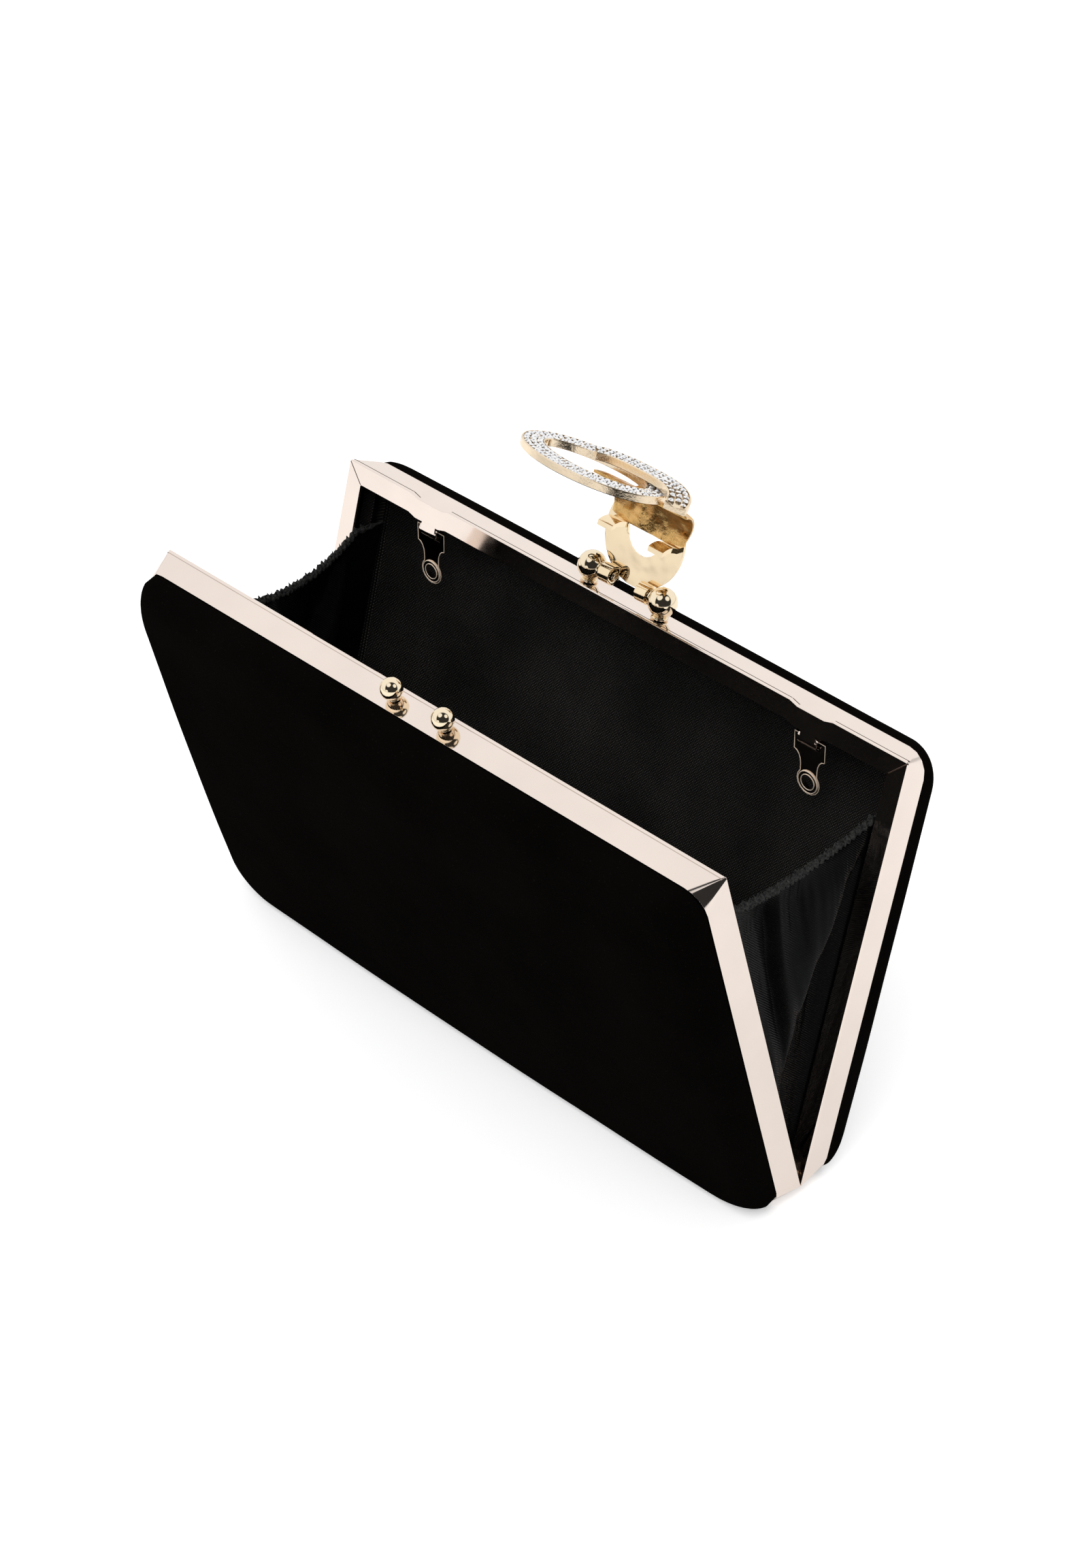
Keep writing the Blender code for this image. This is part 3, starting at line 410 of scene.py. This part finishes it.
def build_edge_highlights(name, radius=0.00012, around=6):
    """Painted highlight: thin beads of bright, mostly matt gold round the front outlines of a flat chain tab,
    standing in for the glint on its edges.
    """
    source = nodes[name]
    flat_share, sharp_edge, least_path = 0.3, 1.0, 8
    shape = bmesh.new()
    shape.from_mesh(source.data)
    shape.transform(source.matrix_world)
    bmesh.ops.remove_doubles(shape, verts=shape.verts, dist=0.00001)
    middle = sum(v.co.y for v in shape.verts) / len(shape.verts)
    links = {}
    for edge in shape.edges:
        first, last = (v.co for v in edge.verts)
        flat = abs(first.y - last.y) < flat_share * (first - last).length
        if flat and edge.calc_face_angle(0.0) > sharp_edge and (first.y + last.y) / 2 < middle:
            for one, other in (edge.verts, reversed(edge.verts)):
                links.setdefault(one.index, []).append(other.index)
    places = [v.co.copy() for v in shape.verts]
    shape.free()
    mesh = bmesh.new()
    while links:
        path = [next(iter(links))]
        while True:
            onward = [k for k in links.pop(path[-1], []) if k in links]
            if not onward:
                break
            path.append(onward[0])
        if len(path) < least_path:
            continue
        rows = []
        for i, index in enumerate(path):
            along = (places[path[(i + 1) % len(path)]] - places[path[i - 1]]).normalized()
            out = along.cross(Vector((0, 1, 0)))
            ring = [(out * math.cos(a) + Vector((0, 1, 0)) * math.sin(a)) * radius for a in turns(around)]
            rows.append([mesh.verts.new(places[index] + step) for step in ring])
        grid_faces(mesh, rows + [rows[0]], closed=True)
    # Beads in bright matt gold: painted highlight on the tab's edges
    piece = add_object(name + "_edge", mesh, edge_highlight_gold, 180)
    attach(piece, name + "_body")


# ---------------------------------------------------------------- trays: velvet covers and linings
def crown(x, height):
    across = x / (WIDTH / 2 * CROWN_SPREAD)
    up = (height - HEIGHT / 2) / (HEIGHT / 2 * CROWN_SPREAD)
    return PAD_CROWN * (1 - across ** 2) * (1 - up ** 2)


def rounded_rectangle(inset, radius, long_steps=36, short_steps=22, corner_steps=12):
    """(x, height) points of a rounded rectangle inside the frame's outline, anticlockwise from the bottom."""
    half, low, high = WIDTH / 2 - inset, inset, HEIGHT - inset
    run = half - radius
    points = []
    for quarter, (cx, cz) in enumerate(((run, low + radius), (run, high - radius), (-run, high - radius),
                                        (-run, low + radius))):
        start = quarter * math.pi / 2 - math.pi / 2
        angles = [start + math.pi / 2 * i / corner_steps for i in range(corner_steps + 1)]
        arc = [(cx + radius * math.cos(angle), cz + radius * math.sin(angle)) for angle in angles]
        steps = short_steps if quarter in (1, 3) else long_steps
        if points:
            (x, z), (next_x, next_z) = points[-1], arc[0]
            points += [(x + (next_x - x) * i / steps, z + (next_z - z) * i / steps) for i in range(1, steps)]
        points += arc
    last = points[-1]
    points += [(last[0] + (points[0][0] - last[0]) * i / long_steps, last[1]) for i in range(1, long_steps)]
    return points


def tray_loop(side, inset, depth, radius, share=0.0):
    """A loop of a tray's panel in the row frame; share is how much of the crown it has."""
    to_row = tray_matrix(side)
    return [to_row @ Vector((x, depth + share * crown(x, z), z)) for x, z in rounded_rectangle(inset, radius)]


def pad_loops(side, offset, wall_steps=3, edge_steps=10, face_steps=9):
    """Loops of a padded panel at an offset inside the velvet's face: rim, wall, round edge and crown."""
    rim = BAND + SEAT
    wall = rim + PAD_WALL
    arc = PAD_RADIUS - offset
    loops = [tray_loop(side, PAD_INSET + offset, rim + PAD_WALL * i / wall_steps, RIM_CORNER - offset)
             for i in range(wall_steps + 1)]
    for i in range(1, edge_steps + 1):
        angle = math.pi / 2 * i / edge_steps
        inset = PAD_INSET + PAD_RADIUS - arc * math.cos(angle)
        corner = RIM_CORNER + (PAD_CORNER - RIM_CORNER) * math.sin(angle) - offset * math.cos(angle)
        loops.append(tray_loop(side, inset, wall + arc * math.sin(angle), corner, math.sin(angle)))
    edge = PAD_INSET + PAD_RADIUS
    for i in range(1, face_steps):
        inset = edge + (HEIGHT / 2 - edge) * i / face_steps
        corner = max(PAD_CORNER * (1 - i / face_steps), LEAST_CORNER)
        loops.append(tray_loop(side, inset, wall + arc, corner, 1.0))
    return loops


def pad_centre(side, offset):
    depth = BAND + SEAT + PAD_WALL + PAD_RADIUS - offset + crown(0, HEIGHT / 2)
    return tray_matrix(side) @ Vector((0, depth, HEIGHT / 2))


def build_cover(side, word):
    """Velvet and its foam as one crowned pad, flat where it stands on the table."""
    loops = list(reversed(pad_loops(side, COVER))) + pad_loops(side, 0.0)
    mesh = loft(loops, (pad_centre(side, COVER), pad_centre(side, 0.0)))
    for vertex in mesh.verts:
        ripple = noise.noise(vertex.co * RIPPLE_SCALE) * RIPPLE
        vertex.co.y += side * ripple
        vertex.co.z = max(vertex.co.z, 0.0)
    cover = add_object(word + "_velvet_cover", mesh, velvet)
    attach(cover, word + "_half")
    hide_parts(word + "_velvet", word + "_foam")


def build_lining(side, word):
    """Woven lining drawn over a thin board: rounded brim in front of the frame's flange, wall and back."""
    brim_inset = SHEET + SEAT
    brim_back = BAND - SHEET - SEAT
    brim_front = brim_back - LINING
    back = BAND + SEAT + PAD_WALL + PAD_RADIUS - LINING_IN
    wall = PAD_INSET + LINING_IN
    roll = LINING / 2
    corner, wall_corner, turn_corner, back_corner = 0.0053, 0.0015, 0.002, 0.003
    face_corner, middle_corner, steps = 0.006, 0.0005, 7

    def face(depth, first):
        return [tray_loop(side, first + (HEIGHT / 2 - first) * i / steps, depth,
                          face_corner * (1 - i / steps) + middle_corner, 1.0) for i in range(1, steps)]

    inner = [tray_loop(side, wall, brim_front + roll, corner - LINING_IN + brim_inset + LEAST_CORNER),
             tray_loop(side, wall + 0.0002, back - 0.0012, turn_corner, 0.9),
             tray_loop(side, wall + 0.0012, back, back_corner, 1.0)]
    outer_wall = wall - LINING
    outer = [tray_loop(side, outer_wall, brim_back, wall_corner),
             tray_loop(side, outer_wall, back + LINING - 0.001, turn_corner, 0.9),
             tray_loop(side, outer_wall + 0.001, back + LINING, back_corner, 1.0)]
    brim = [tray_loop(side, wall - roll, brim_front, wall_corner),
            tray_loop(side, brim_inset + roll, brim_front, corner),
            tray_loop(side, brim_inset, brim_front + roll, corner),
            tray_loop(side, brim_inset + roll, brim_back, corner)]
    loops = (list(reversed(face(back, wall))) + list(reversed(inner)) + brim + outer
             + face(back + LINING, outer_wall))
    to_row = tray_matrix(side)
    centres = [to_row @ Vector((0, depth + crown(0, HEIGHT / 2), HEIGHT / 2))
               for depth in (back, back + LINING)]
    piece = add_object(word + "_lining_panel", loft(loops, centres), linings[side], 40)
    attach(piece, word + "_half")
    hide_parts(word + "_lining")


def build_seam_shadow(side, word):
    """Painted shade of the groove along the top, where the band's sheet turns over the inner lip, and of the
    mitres across the lip: thin beads in a dark metal on the rear tray and a pale one on the front.
    """
    to_row = tray_matrix(side)
    depth, radius, sunk, turned, around, steps = 0.0011, 0.00020, 0.00014, 0.0006, 6, 300
    mitre_radius, mitre_depth, mitre_start, mitre_stretch, mitre_steps = 0.00013, 0.0001, 0.0004, 1.4, 8
    right = WIDTH / 2 - turned
    loops, middles = [], []
    for i in range(steps + 1):
        x = right - 2 * right * i / steps
        away = abs(abs(x) - DIP_PLACE)
        dip = min(1.0, max(0.0, (DIP_HALF - away) / (DIP_HALF - DIP_FLAT)))
        drop = DIP_DEPTH * dip if side > 0 else 0.0
        centre = Vector((x, depth, HEIGHT - sunk - drop))
        middles.append(to_row @ centre)
        loops.append([to_row @ (centre + Vector((0, math.cos(a), math.sin(a))) * radius)
                      for a in turns(around)])
    mesh = loft(loops, (middles[0], middles[-1]))
    for end in (-1, 1):
        mitre = []
        for i in range(mitre_steps + 1):
            inset = mitre_start + (LIP - mitre_start) * i / mitre_steps
            centre = Vector((end * (WIDTH / 2 - inset), mitre_depth, HEIGHT - inset))
            ring = [Vector((math.cos(a), math.sin(a) * mitre_stretch, -end * math.cos(a))) * mitre_radius
                    for a in turns(around)]
            mitre.append([mesh.verts.new(to_row @ (centre + step)) for step in ring])
        grid_faces(mesh, mitre, closed=True)
        mesh.faces.new(mitre[0])
        mesh.faces.new(mitre[-1])
    # Painted shade of the groove and mitres: dark on the rear tray, pale on the front
    piece = add_object(word + "_frame_seam_shadow", mesh, seam_shadow if side > 0 else pale_seam_shadow, 180)
    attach(piece, word + "_half")


# ---------------------------------------------------------------- gussets
def gusset_place(sign, across, height, inward=0.0):
    """A point of a gusset's cloth at rest: across runs from -1 on the front tray to 1 on the rear tray."""
    side = 1 if across >= 0 else -1
    lip_x = WIDTH / 2 - LIP - SEAT - CLOTH_CLEAR
    turned = Matrix.Rotation(-side * HALF_ANGLE, 3, "X")
    mouth = turned @ Vector((0, side * GAP_HALF, height - HINGE_RISE))
    tall = (height - GUSSET_LOW) / (HEIGHT - GUSSET_DROP - GUSSET_LOW)
    if abs(across) > TUCK_SHARE:
        tucked = (abs(across) - TUCK_SHARE) / (1 - TUCK_SHARE)
        rise = TUCK_RISE * tucked * min(1.0, max(0.0, tall)) ** 2
        place = turned @ Vector((0, side * (GAP_HALF + TUCK_RUN * tucked), height - HINGE_RISE + rise))
        return Vector((sign * (lip_x - 0.0002 * tucked - inward), place.y, place.z)) + HINGE
    share = across / TUCK_SHARE
    z = mouth.z - GUSSET_SAG * tall * (1 - share ** 2)
    y = abs(mouth.y) * share

    def ridge(centre, wide):
        return math.exp(-((share - centre) / wide) ** 2)

    # A drape from the rear top to the front foot, a hollow crease beside it and fine gathers at the top
    crest = -0.80 + 1.75 * max(tall, 0.0) ** 1.3
    drape = 0.0052 * ridge(crest, 0.50 if share < crest else 0.20)
    drape -= 0.0026 * ridge(-0.42 + 0.22 * tall, 0.08) * min(1.0, max(0.0, tall - 0.25) * 2)
    drape += 0.0012 * ridge(-0.68 + 0.06 * tall, 0.14) - 0.0014 * ridge(0.62 + 0.2 * tall, 0.20)
    high = max(0.0, tall - 0.72) / 0.28
    pull = max(0.0, 0.55 + 0.9 * noise.noise(Vector((share * 5, 0, sign * 5.7))))
    gather = math.sin(share * 34 + 3.4 * math.sin(share * 5) + 2 * tall) * 0.00045 * high * pull
    gather += math.sin(share * 83 + 3.0 * math.sin(share * 9)) * 0.00018 * high ** 2
    crumple = noise.noise(Vector((share * 2.6 + tall * 1.5, tall * 2.6 - share * 2, sign * 3.1))) * 0.0016
    crumple += noise.noise(Vector((share * 7 + tall * 5, tall * 6 - share * 6, sign * 1.7))) * 0.00035
    calm = (1 - share ** 8) * min(1.0, tall * 1.6) * (1 - 0.85 * max(0.0, (tall - 0.90) / 0.10) ** 2)
    swell = (drape + crumple + gather) * calm
    draw = GUSSET_DRAW * tall * (1 - share ** 2) + 0.0012 * calm
    return Vector((sign * (lip_x - draw + swell - inward), y, z)) + HINGE


def angular_blend(piece):
    """Each point of a gusset follows the two halves by its angle about the hinge, as a fan does."""
    attribute = piece.data.attributes["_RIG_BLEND"]
    weights = []
    for vertex in piece.data.vertices:
        offset = vertex.co - HINGE
        angle = math.atan2(offset.y, max(offset.z, 0.0005))
        weights.append(min(1.0, max(0.0, (HALF_ANGLE - angle) / (2 * HALF_ANGLE))))
    attribute.data.foreach_set("value", weights)


def build_gusset(sign, word):
    """Satin of one gusset, and its flat area, which is that of one side of the mesh."""
    top = HEIGHT - GUSSET_DROP
    wide, tall = 150, 60
    mesh = bmesh.new()
    sheets = []
    for inward in (-CLOTH_THICK / 2, CLOTH_THICK / 2):
        rows = []
        for i in range(tall + 1):
            height = GUSSET_LOW + (top - GUSSET_LOW) * i / tall
            rows.append([mesh.verts.new(gusset_place(sign, 2 * j / wide - 1, height, inward))
                         for j in range(wide + 1)])
        sheets.append(rows)
    for rows in sheets:
        grid_faces(mesh, rows)
    close_rim(mesh, *sheets)
    cloth = add_object("gusset_cloth_" + word, mesh, satin, 70)
    area = sum(face.area for face in cloth.data.polygons) / 2
    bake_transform(cloth, "rear_half", "front_half", HINGE + Vector((0, 0.03, 0.08)),
             HINGE + Vector((0, -0.03, 0.08)))
    angular_blend(cloth)
    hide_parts("gusset_" + word)
    return cloth, area


def build_elastic(sign, word):
    """Ruched elastic: a soft wavy tube along the gusset's top with a small frill above it."""
    top = HEIGHT - GUSSET_DROP
    count, around = 420, 10
    rng = random.Random(7 if sign > 0 else 11)
    phase = rng.random() * 6
    loops, frill = [], []
    for j in range(count + 1):
        across = 2 * j / count - 1
        ruche = math.sin(j * 0.62 + 1.6 * math.sin(j * 0.071 + phase))
        ease = min(1.0, (1 - abs(across)) * 12)
        slim = 1 - 0.7 * max(0.0, abs(across) - 0.86) / 0.14
        half_tall = (0.00110 + 0.00028 * ruche * ease) * slim
        half_thick = (0.00065 + 0.00024 * ruche * ease) * slim
        centre = gusset_place(sign, across, top + 0.0008, 0.0003)
        wander = 0.00014 * math.sin(j * 0.19 + phase) * ease
        loops.append([centre + Vector((half_thick * math.cos(a), 0, half_tall * math.sin(a) + wander))
                      for a in turns(around)])
        stand = (0.0006 + 0.0006 * noise.noise(Vector((j * 0.23, phase, 0)))
                 + 0.0003 * math.sin(j * 0.9 + phase)) * ease * slim + 0.0001
        lean = 0.0004 * math.sin(j * 0.62 + phase) * ease
        foot = centre + Vector((0, 0, half_tall * 0.6 + wander))
        frill.append((foot, foot + Vector((lean, 0, stand))))
    mesh = bmesh.new()
    rows = [[mesh.verts.new(point) for point in loop] for loop in loops]
    grid_faces(mesh, rows, closed=True)
    mesh.faces.new(rows[0])
    mesh.faces.new(rows[-1])
    thin = Vector((0.00012, 0, 0))
    ruffle = [[mesh.verts.new(point) for point in (foot - thin, foot + thin, tip + thin / 2, tip - thin / 2)]
              for foot, tip in frill]
    grid_faces(mesh, ruffle, closed=True)
    mesh.faces.new(ruffle[0])
    mesh.faces.new(ruffle[-1])
    piece = add_object("gusset_ruche_" + word, mesh, elastic, 60)
    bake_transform(piece, "rear_half", "front_half", HINGE + Vector((0, 0.03, 0.08)),
             HINGE + Vector((0, -0.03, 0.08)))
    angular_blend(piece)
    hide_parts("gusset_elastic_" + word)
    return piece


# ---------------------------------------------------------------- ornament
def ring_middle(ring, share):
    """Centre line of a ring in the lever's frame at a share of its length, and its outward direction."""
    long, tall, shift, forward, fullness, weave, droop, arc = RINGS[ring]
    first, last = arc or (0.0, 1.0)
    angle = 2 * math.pi * (first + (last - first) * share)
    long, tall = long - RING_BAND / 2, tall - RING_BAND / 2
    across, up = math.cos(angle), math.sin(angle)
    place = [math.copysign(abs(v) ** (2 / fullness), v) for v in (across, up)]
    pull = [math.copysign(abs(v) ** (2 - 2 / fullness), v) for v in (across, up)]
    raised = weave * up / math.sqrt(up ** 2 + RING_WEAVE_EASE) - droop * max(place[0], 0.0) ** 4
    middle = Vector((shift + long * place[0], PLATE_FRONT - forward + tall * place[1], RING_ALONG + raised))
    return middle, Vector((pull[0] / long, pull[1] / tall, 0)).normalized()


def hood_point(turn, across, lift):
    """A point of the hood: turn from 0 at the plate to 1 at the ornament, across from -1 to 1."""
    angle = math.pi / 2 * turn
    far = RING_ALONG - RING_HALF_THICK - SEAT - HOOD / 2
    base = PLATE_FRONT - SEAT - HOOD / 2
    along = (HOOD_BEND + (far - HOOD_BEND) * math.sin(angle)
             - HOOD_BULGE * across ** 2 * math.sin(angle) * (1 - turn))
    back = base - HOOD_REACH * (1 - math.cos(angle))
    side = HOOD_SHIFT + HOOD_LEAN * turn + (HOOD_HALF + HOOD_FLARE * turn) * across
    return Vector((side, back, along)) + Vector((0, math.cos(angle), math.sin(angle))) * lift


def build_hood():
    """Cast hood with a rough inner side, a rounded rim and a foot that curls up at both ends."""
    mesh = bmesh.new()
    to_row = clasp_matrix()
    high, wide = 34, 60
    sheets = []
    for lift in (-HOOD / 2, HOOD / 2):
        rows = []
        for i in range(-6, high + 1):
            row = []
            for j in range(wide + 1):
                across = 2 * j / wide - 1
                edge = min(1.0, (1 - abs(across)) * wide / 6, (high - i) / 3 + 0.2)
                point = hood_point(max(i, 0) / high, across, lift * math.sqrt(max(edge, 0.0) * 0.75 + 0.25))
                if i < 0:
                    foot_rise = 0.0010 * max(0.0, abs(across) - 0.55) / 0.45
                    point.z -= (HOOD_BEND - HOOD_FOOT - foot_rise) * -i / 6
                if lift < 0:
                    coarse, fine = noise.noise(point * 420) * 0.00022, noise.noise(point * 1300) * 0.0001
                    point.y -= coarse * edge + fine * edge
                row.append(mesh.verts.new(to_row @ point))
            rows.append(row)
        sheets.append(rows)
        grid_faces(mesh, rows)
    close_rim(mesh, *sheets)
    piece = add_object("clasp_hood_cast", mesh, cast_gold, 60)
    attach(piece, "clasp_lever")
    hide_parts("clasp_hood")


def build_ring(ring):
    """Polished ring with a raised wall on each side of a sunk bed for the stones."""
    half, thick = RING_BAND / 2, RING_HALF_THICK
    wall, bed, soft = 0.00045, 0.0006, 0.00018
    section = [(-half + soft, -thick), (half - soft, -thick), (half, -thick + soft), (half, thick - soft),
               (half - soft, thick), (half - wall, thick), (half - wall, thick - bed),
               (-half + wall, thick - bed), (-half + wall, thick), (-half + soft, thick),
               (-half, thick - soft), (-half, -thick + soft)]
    to_row = clasp_matrix()
    loops, middles = [], []
    steps = 160
    whole = RINGS[ring][-1] is None
    for step in range(steps if whole else steps + 1):
        middle, outward = ring_middle(ring, step / steps)
        middles.append(to_row @ middle)
        loops.append([to_row @ (middle + outward * away + Vector((0, 0, up))) for away, up in section])
    ends = None if whole else (middles[0], middles[-1])
    piece = add_object(ring + "_setting", loft(loops, ends), set_gold, 35)
    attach(piece, "clasp_lever")
    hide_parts(ring)


def add_stone(mesh, centre, turn, radius):
    """Round brilliant: octagonal table, crown facets, girdle and a short pavilion."""
    sides, table_share, crown_share, pavilion_share = 8, 0.56, 0.42, 0.6
    girdle = [mesh.verts.new(centre + turn @ Vector((radius * math.cos(a), radius * math.sin(a), 0)))
              for a in turns(sides)]
    table = [mesh.verts.new(centre + turn @ Vector((radius * table_share * math.cos(a),
                                                    radius * table_share * math.sin(a),
                                                    radius * crown_share)))
             for a in turns(sides, 0.5)]
    culet = mesh.verts.new(centre + turn @ Vector((0, 0, -radius * pavilion_share)))
    mesh.faces.new(table)
    for k in range(sides):
        n = (k + 1) % sides
        mesh.faces.new((girdle[k], girdle[n], table[k]))
        mesh.faces.new((girdle[n], table[n], table[k]))
        mesh.faces.new((girdle[n], girdle[k], culet))


def build_stones(ring):
    """Three rows of small stones in the bed, the middle one set between the others."""
    rng = random.Random(len(ring))
    mesh = bmesh.new()
    samples = 900
    to_row = clasp_matrix()
    turn_row = to_row.to_3x3()
    whole = RINGS[ring][-1] is None
    line = [ring_middle(ring, i / samples) for i in range(samples)]
    for row, away in enumerate((-STONE_ROW_GAP, 0.0, STONE_ROW_GAP)):
        points = [middle + outward * away for middle, outward in line]
        gaps = [(points[i] - points[i - 1]).length if i or whole else 0.0 for i in range(samples)]
        total = sum(gaps)
        count = round(total / STONE_PITCH)
        reach = ((row % 2) * 0.5 + (0.0 if whole else 0.5)) * total / count
        walked, index = 0.0, 0
        for k in range(count if whole else count - row % 2):
            goal = reach + total * k / count
            while walked < goal and index < samples - 1:
                index += 1
                walked += gaps[index]
            tip = Matrix.Rotation(rng.uniform(-STONE_LEAN, STONE_LEAN), 3, "X")
            tip = tip @ Matrix.Rotation(rng.uniform(-STONE_LEAN, STONE_LEAN), 3, "Y")
            spin = Matrix.Rotation(rng.uniform(0, STONE_SPIN), 3, "Z")
            centre = points[index] + Vector((0, 0, RING_HALF_THICK - STONE_SUNK))
            radius = STONE_RADIUS * rng.uniform(0.94, 1.04)
            add_stone(mesh, to_row @ centre, turn_row @ tip @ spin, radius)
    piece = add_object(ring.replace("ring", "stones"), mesh, stone, 1)
    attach(piece, "clasp_lever")


# ---------------------------------------------------------------- the dressed object
for name, bevel in (("rear_frame", 0.00030), ("front_frame", 0.00030), ("rear_hinge_leaf", 0.0001),
                    ("front_hinge_leaf", 0.0001), ("hinge_pin", 0.0), ("tab_loop_left", 0.00015),
                    ("tab_loop_right", 0.00015), ("chain_tab_left", 0.0001), ("chain_tab_right", 0.0001)):
    dress(name, rose_gold, bevel)
for name in ("chain_tab_left", "chain_tab_right"):
    build_edge_highlights(name)
for name in ("clasp_post_left", "clasp_post_right", "catch_ball_left", "catch_ball_right"):
    dress(name, clasp_gold, 0.00006)
dress("clasp_plate", plate_gold, 0.00012)
build_hood()
for side, word in ((1, "rear"), (-1, "front")):
    dress(word + "_shell", board)
    build_cover(side, word)
    build_lining(side, word)
    build_seam_shadow(side, word)
for sign, word in ((-1, "left"), (1, "right")):
    ruche = build_elastic(sign, word)
    cloth, area = build_gusset(sign, word)
for ring in RINGS:
    build_ring(ring)
    build_stones(ring)


# ---------------------------------------------------------------- stage, lights and camera
def glossy_white(tree, strength_seen, lit):
    """Strength that looks white to the camera and in reflections, and gives only plain light otherwise."""
    path = add_node(tree, "ShaderNodeLightPath")
    through = math_node(tree, "MAXIMUM", path.outputs["Is Glossy Ray"], path.outputs["Is Transmission Ray"])
    seen = math_node(tree, "MAXIMUM", path.outputs["Is Camera Ray"], through)
    return ramp(tree, seen, 0.0, 1.0, lit, strength_seen)


def build_world():
    world = bpy.data.worlds.new("studio")
    bpy.context.scene.world = world
    world.use_nodes = True
    tree = world.node_tree
    background = tree.nodes["Background"]
    background.inputs["Color"].default_value = (1, 1, 1, 1)
    # The room on the camera's side is dark, with three windows in it; only glossy surfaces see it
    way = add_node(tree, "ShaderNodeTexCoord").outputs["Generated"]
    cards = []
    for direction, near, far in (((0.575, -0.568, 0.588), 0.42, 0.52), ((-0.079, -0.485, 0.871), 0.93, 0.95),
                                 ((0.641, 0.090, 0.761), 0.95, 0.97), ((0.0, -1.0, 0.01), 0.97, 0.98)):
        facing = add_node(tree, "ShaderNodeVectorMath", operation="DOT_PRODUCT")
        tree.links.new(way, facing.inputs[0])
        facing.inputs[1].default_value = direction
        cards.append(ramp(tree, facing.outputs["Value"], near, far, 0.0, 1.0))
    windows = math_node(tree, "MAXIMUM", cards[1], math_node(tree, "MAXIMUM", cards[2], cards[3]))
    dark = math_node(tree, "MULTIPLY", cards[0], ramp(tree, windows, 0.0, 1.0, 1.0, 0.0))
    path = add_node(tree, "ShaderNodeLightPath")
    mirrored = math_node(tree, "MULTIPLY", dark, path.outputs["Is Glossy Ray"])
    shade = ramp(tree, mirrored, 0.0, 1.0, 1.0, 0.03)
    strength = math_node(tree, "MULTIPLY", glossy_white(tree, 1.0, 0.45), shade)
    tree.links.new(strength, background.inputs["Strength"])


def build_floor():
    mesh = bpy.data.meshes.new("studio_floor")
    reach = 4.0
    mesh.from_pydata([(-reach, -reach, 0), (reach, -reach, 0), (reach, reach, 0), (-reach, reach, 0)], [],
                     [(0, 1, 2, 3)])
    floor = bpy.data.objects.new("studio_floor", mesh)
    bpy.context.collection.objects.link(floor)
    made, tree, shader = new_material("studio_floor")
    place = add_node(tree, "ShaderNodeTexCoord").outputs["Object"]
    grain = noise_node(tree, place, 20.0, 2.0)
    tree.links.new(colour_mix(tree, grain, (0.90, 0.90, 0.90, 1), (0.91, 0.91, 0.91, 1)),
                   shader.inputs["Base Color"])
    shader.inputs["Roughness"].default_value = 0.9
    shader.inputs["Specular IOR Level"].default_value = 0.0
    shader.inputs["Emission Color"].default_value = (1, 1, 1, 1)
    path = add_node(tree, "ShaderNodeLightPath")
    seen = math_node(tree, "MULTIPLY", path.outputs["Is Camera Ray"], 0.42)
    mirrored = math_node(tree, "MULTIPLY", path.outputs["Is Glossy Ray"], 0.20)
    tree.links.new(math_node(tree, "ADD", seen, mirrored), shader.inputs["Emission Strength"])
    mesh.materials.append(made)


def add_lamp(name, place, target, power, size):
    data = bpy.data.lights.new(name, "AREA")
    data.energy = power
    data.shape = "RECTANGLE"
    data.size, data.size_y = size
    lamp = bpy.data.objects.new(name, data)
    bpy.context.collection.objects.link(lamp)
    lamp.location = place
    lamp.rotation_euler = (Vector(target) - Vector(place)).to_track_quat("-Z", "Y").to_euler()
    lamp.visible_glossy = False


def build_camera():
    data = bpy.data.cameras.new("camera")
    data.sensor_fit = "AUTO"
    data.sensor_width = SENSOR
    data.lens = CAMERA_LENS
    data.clip_start, data.clip_end = 0.05, 30
    camera = bpy.data.objects.new("camera", data)
    bpy.context.collection.objects.link(camera)
    turn = Matrix((CAMERA_RIGHT, -CAMERA_DOWN, -CAMERA_FORWARD)).transposed()
    camera.matrix_world = Matrix.Translation(CAMERA_PLACE) @ turn.to_4x4()
    bpy.context.scene.camera = camera


build_world()
build_floor()
add_lamp("key_lamp", (0.5, -0.7, 1.3), (0, 0, 0.05), 9.0, (0.9, 0.9))
add_lamp("fill_lamp", (-0.9, -0.3, 0.8), (0, 0, 0.05), 4.0, (0.9, 0.9))
add_lamp("back_lamp", (0.2, 1.0, 1.0), (0, 0, 0.08), 4.0, (0.9, 0.6))
build_camera()
bpy.context.scene.view_settings.view_transform = "Standard"
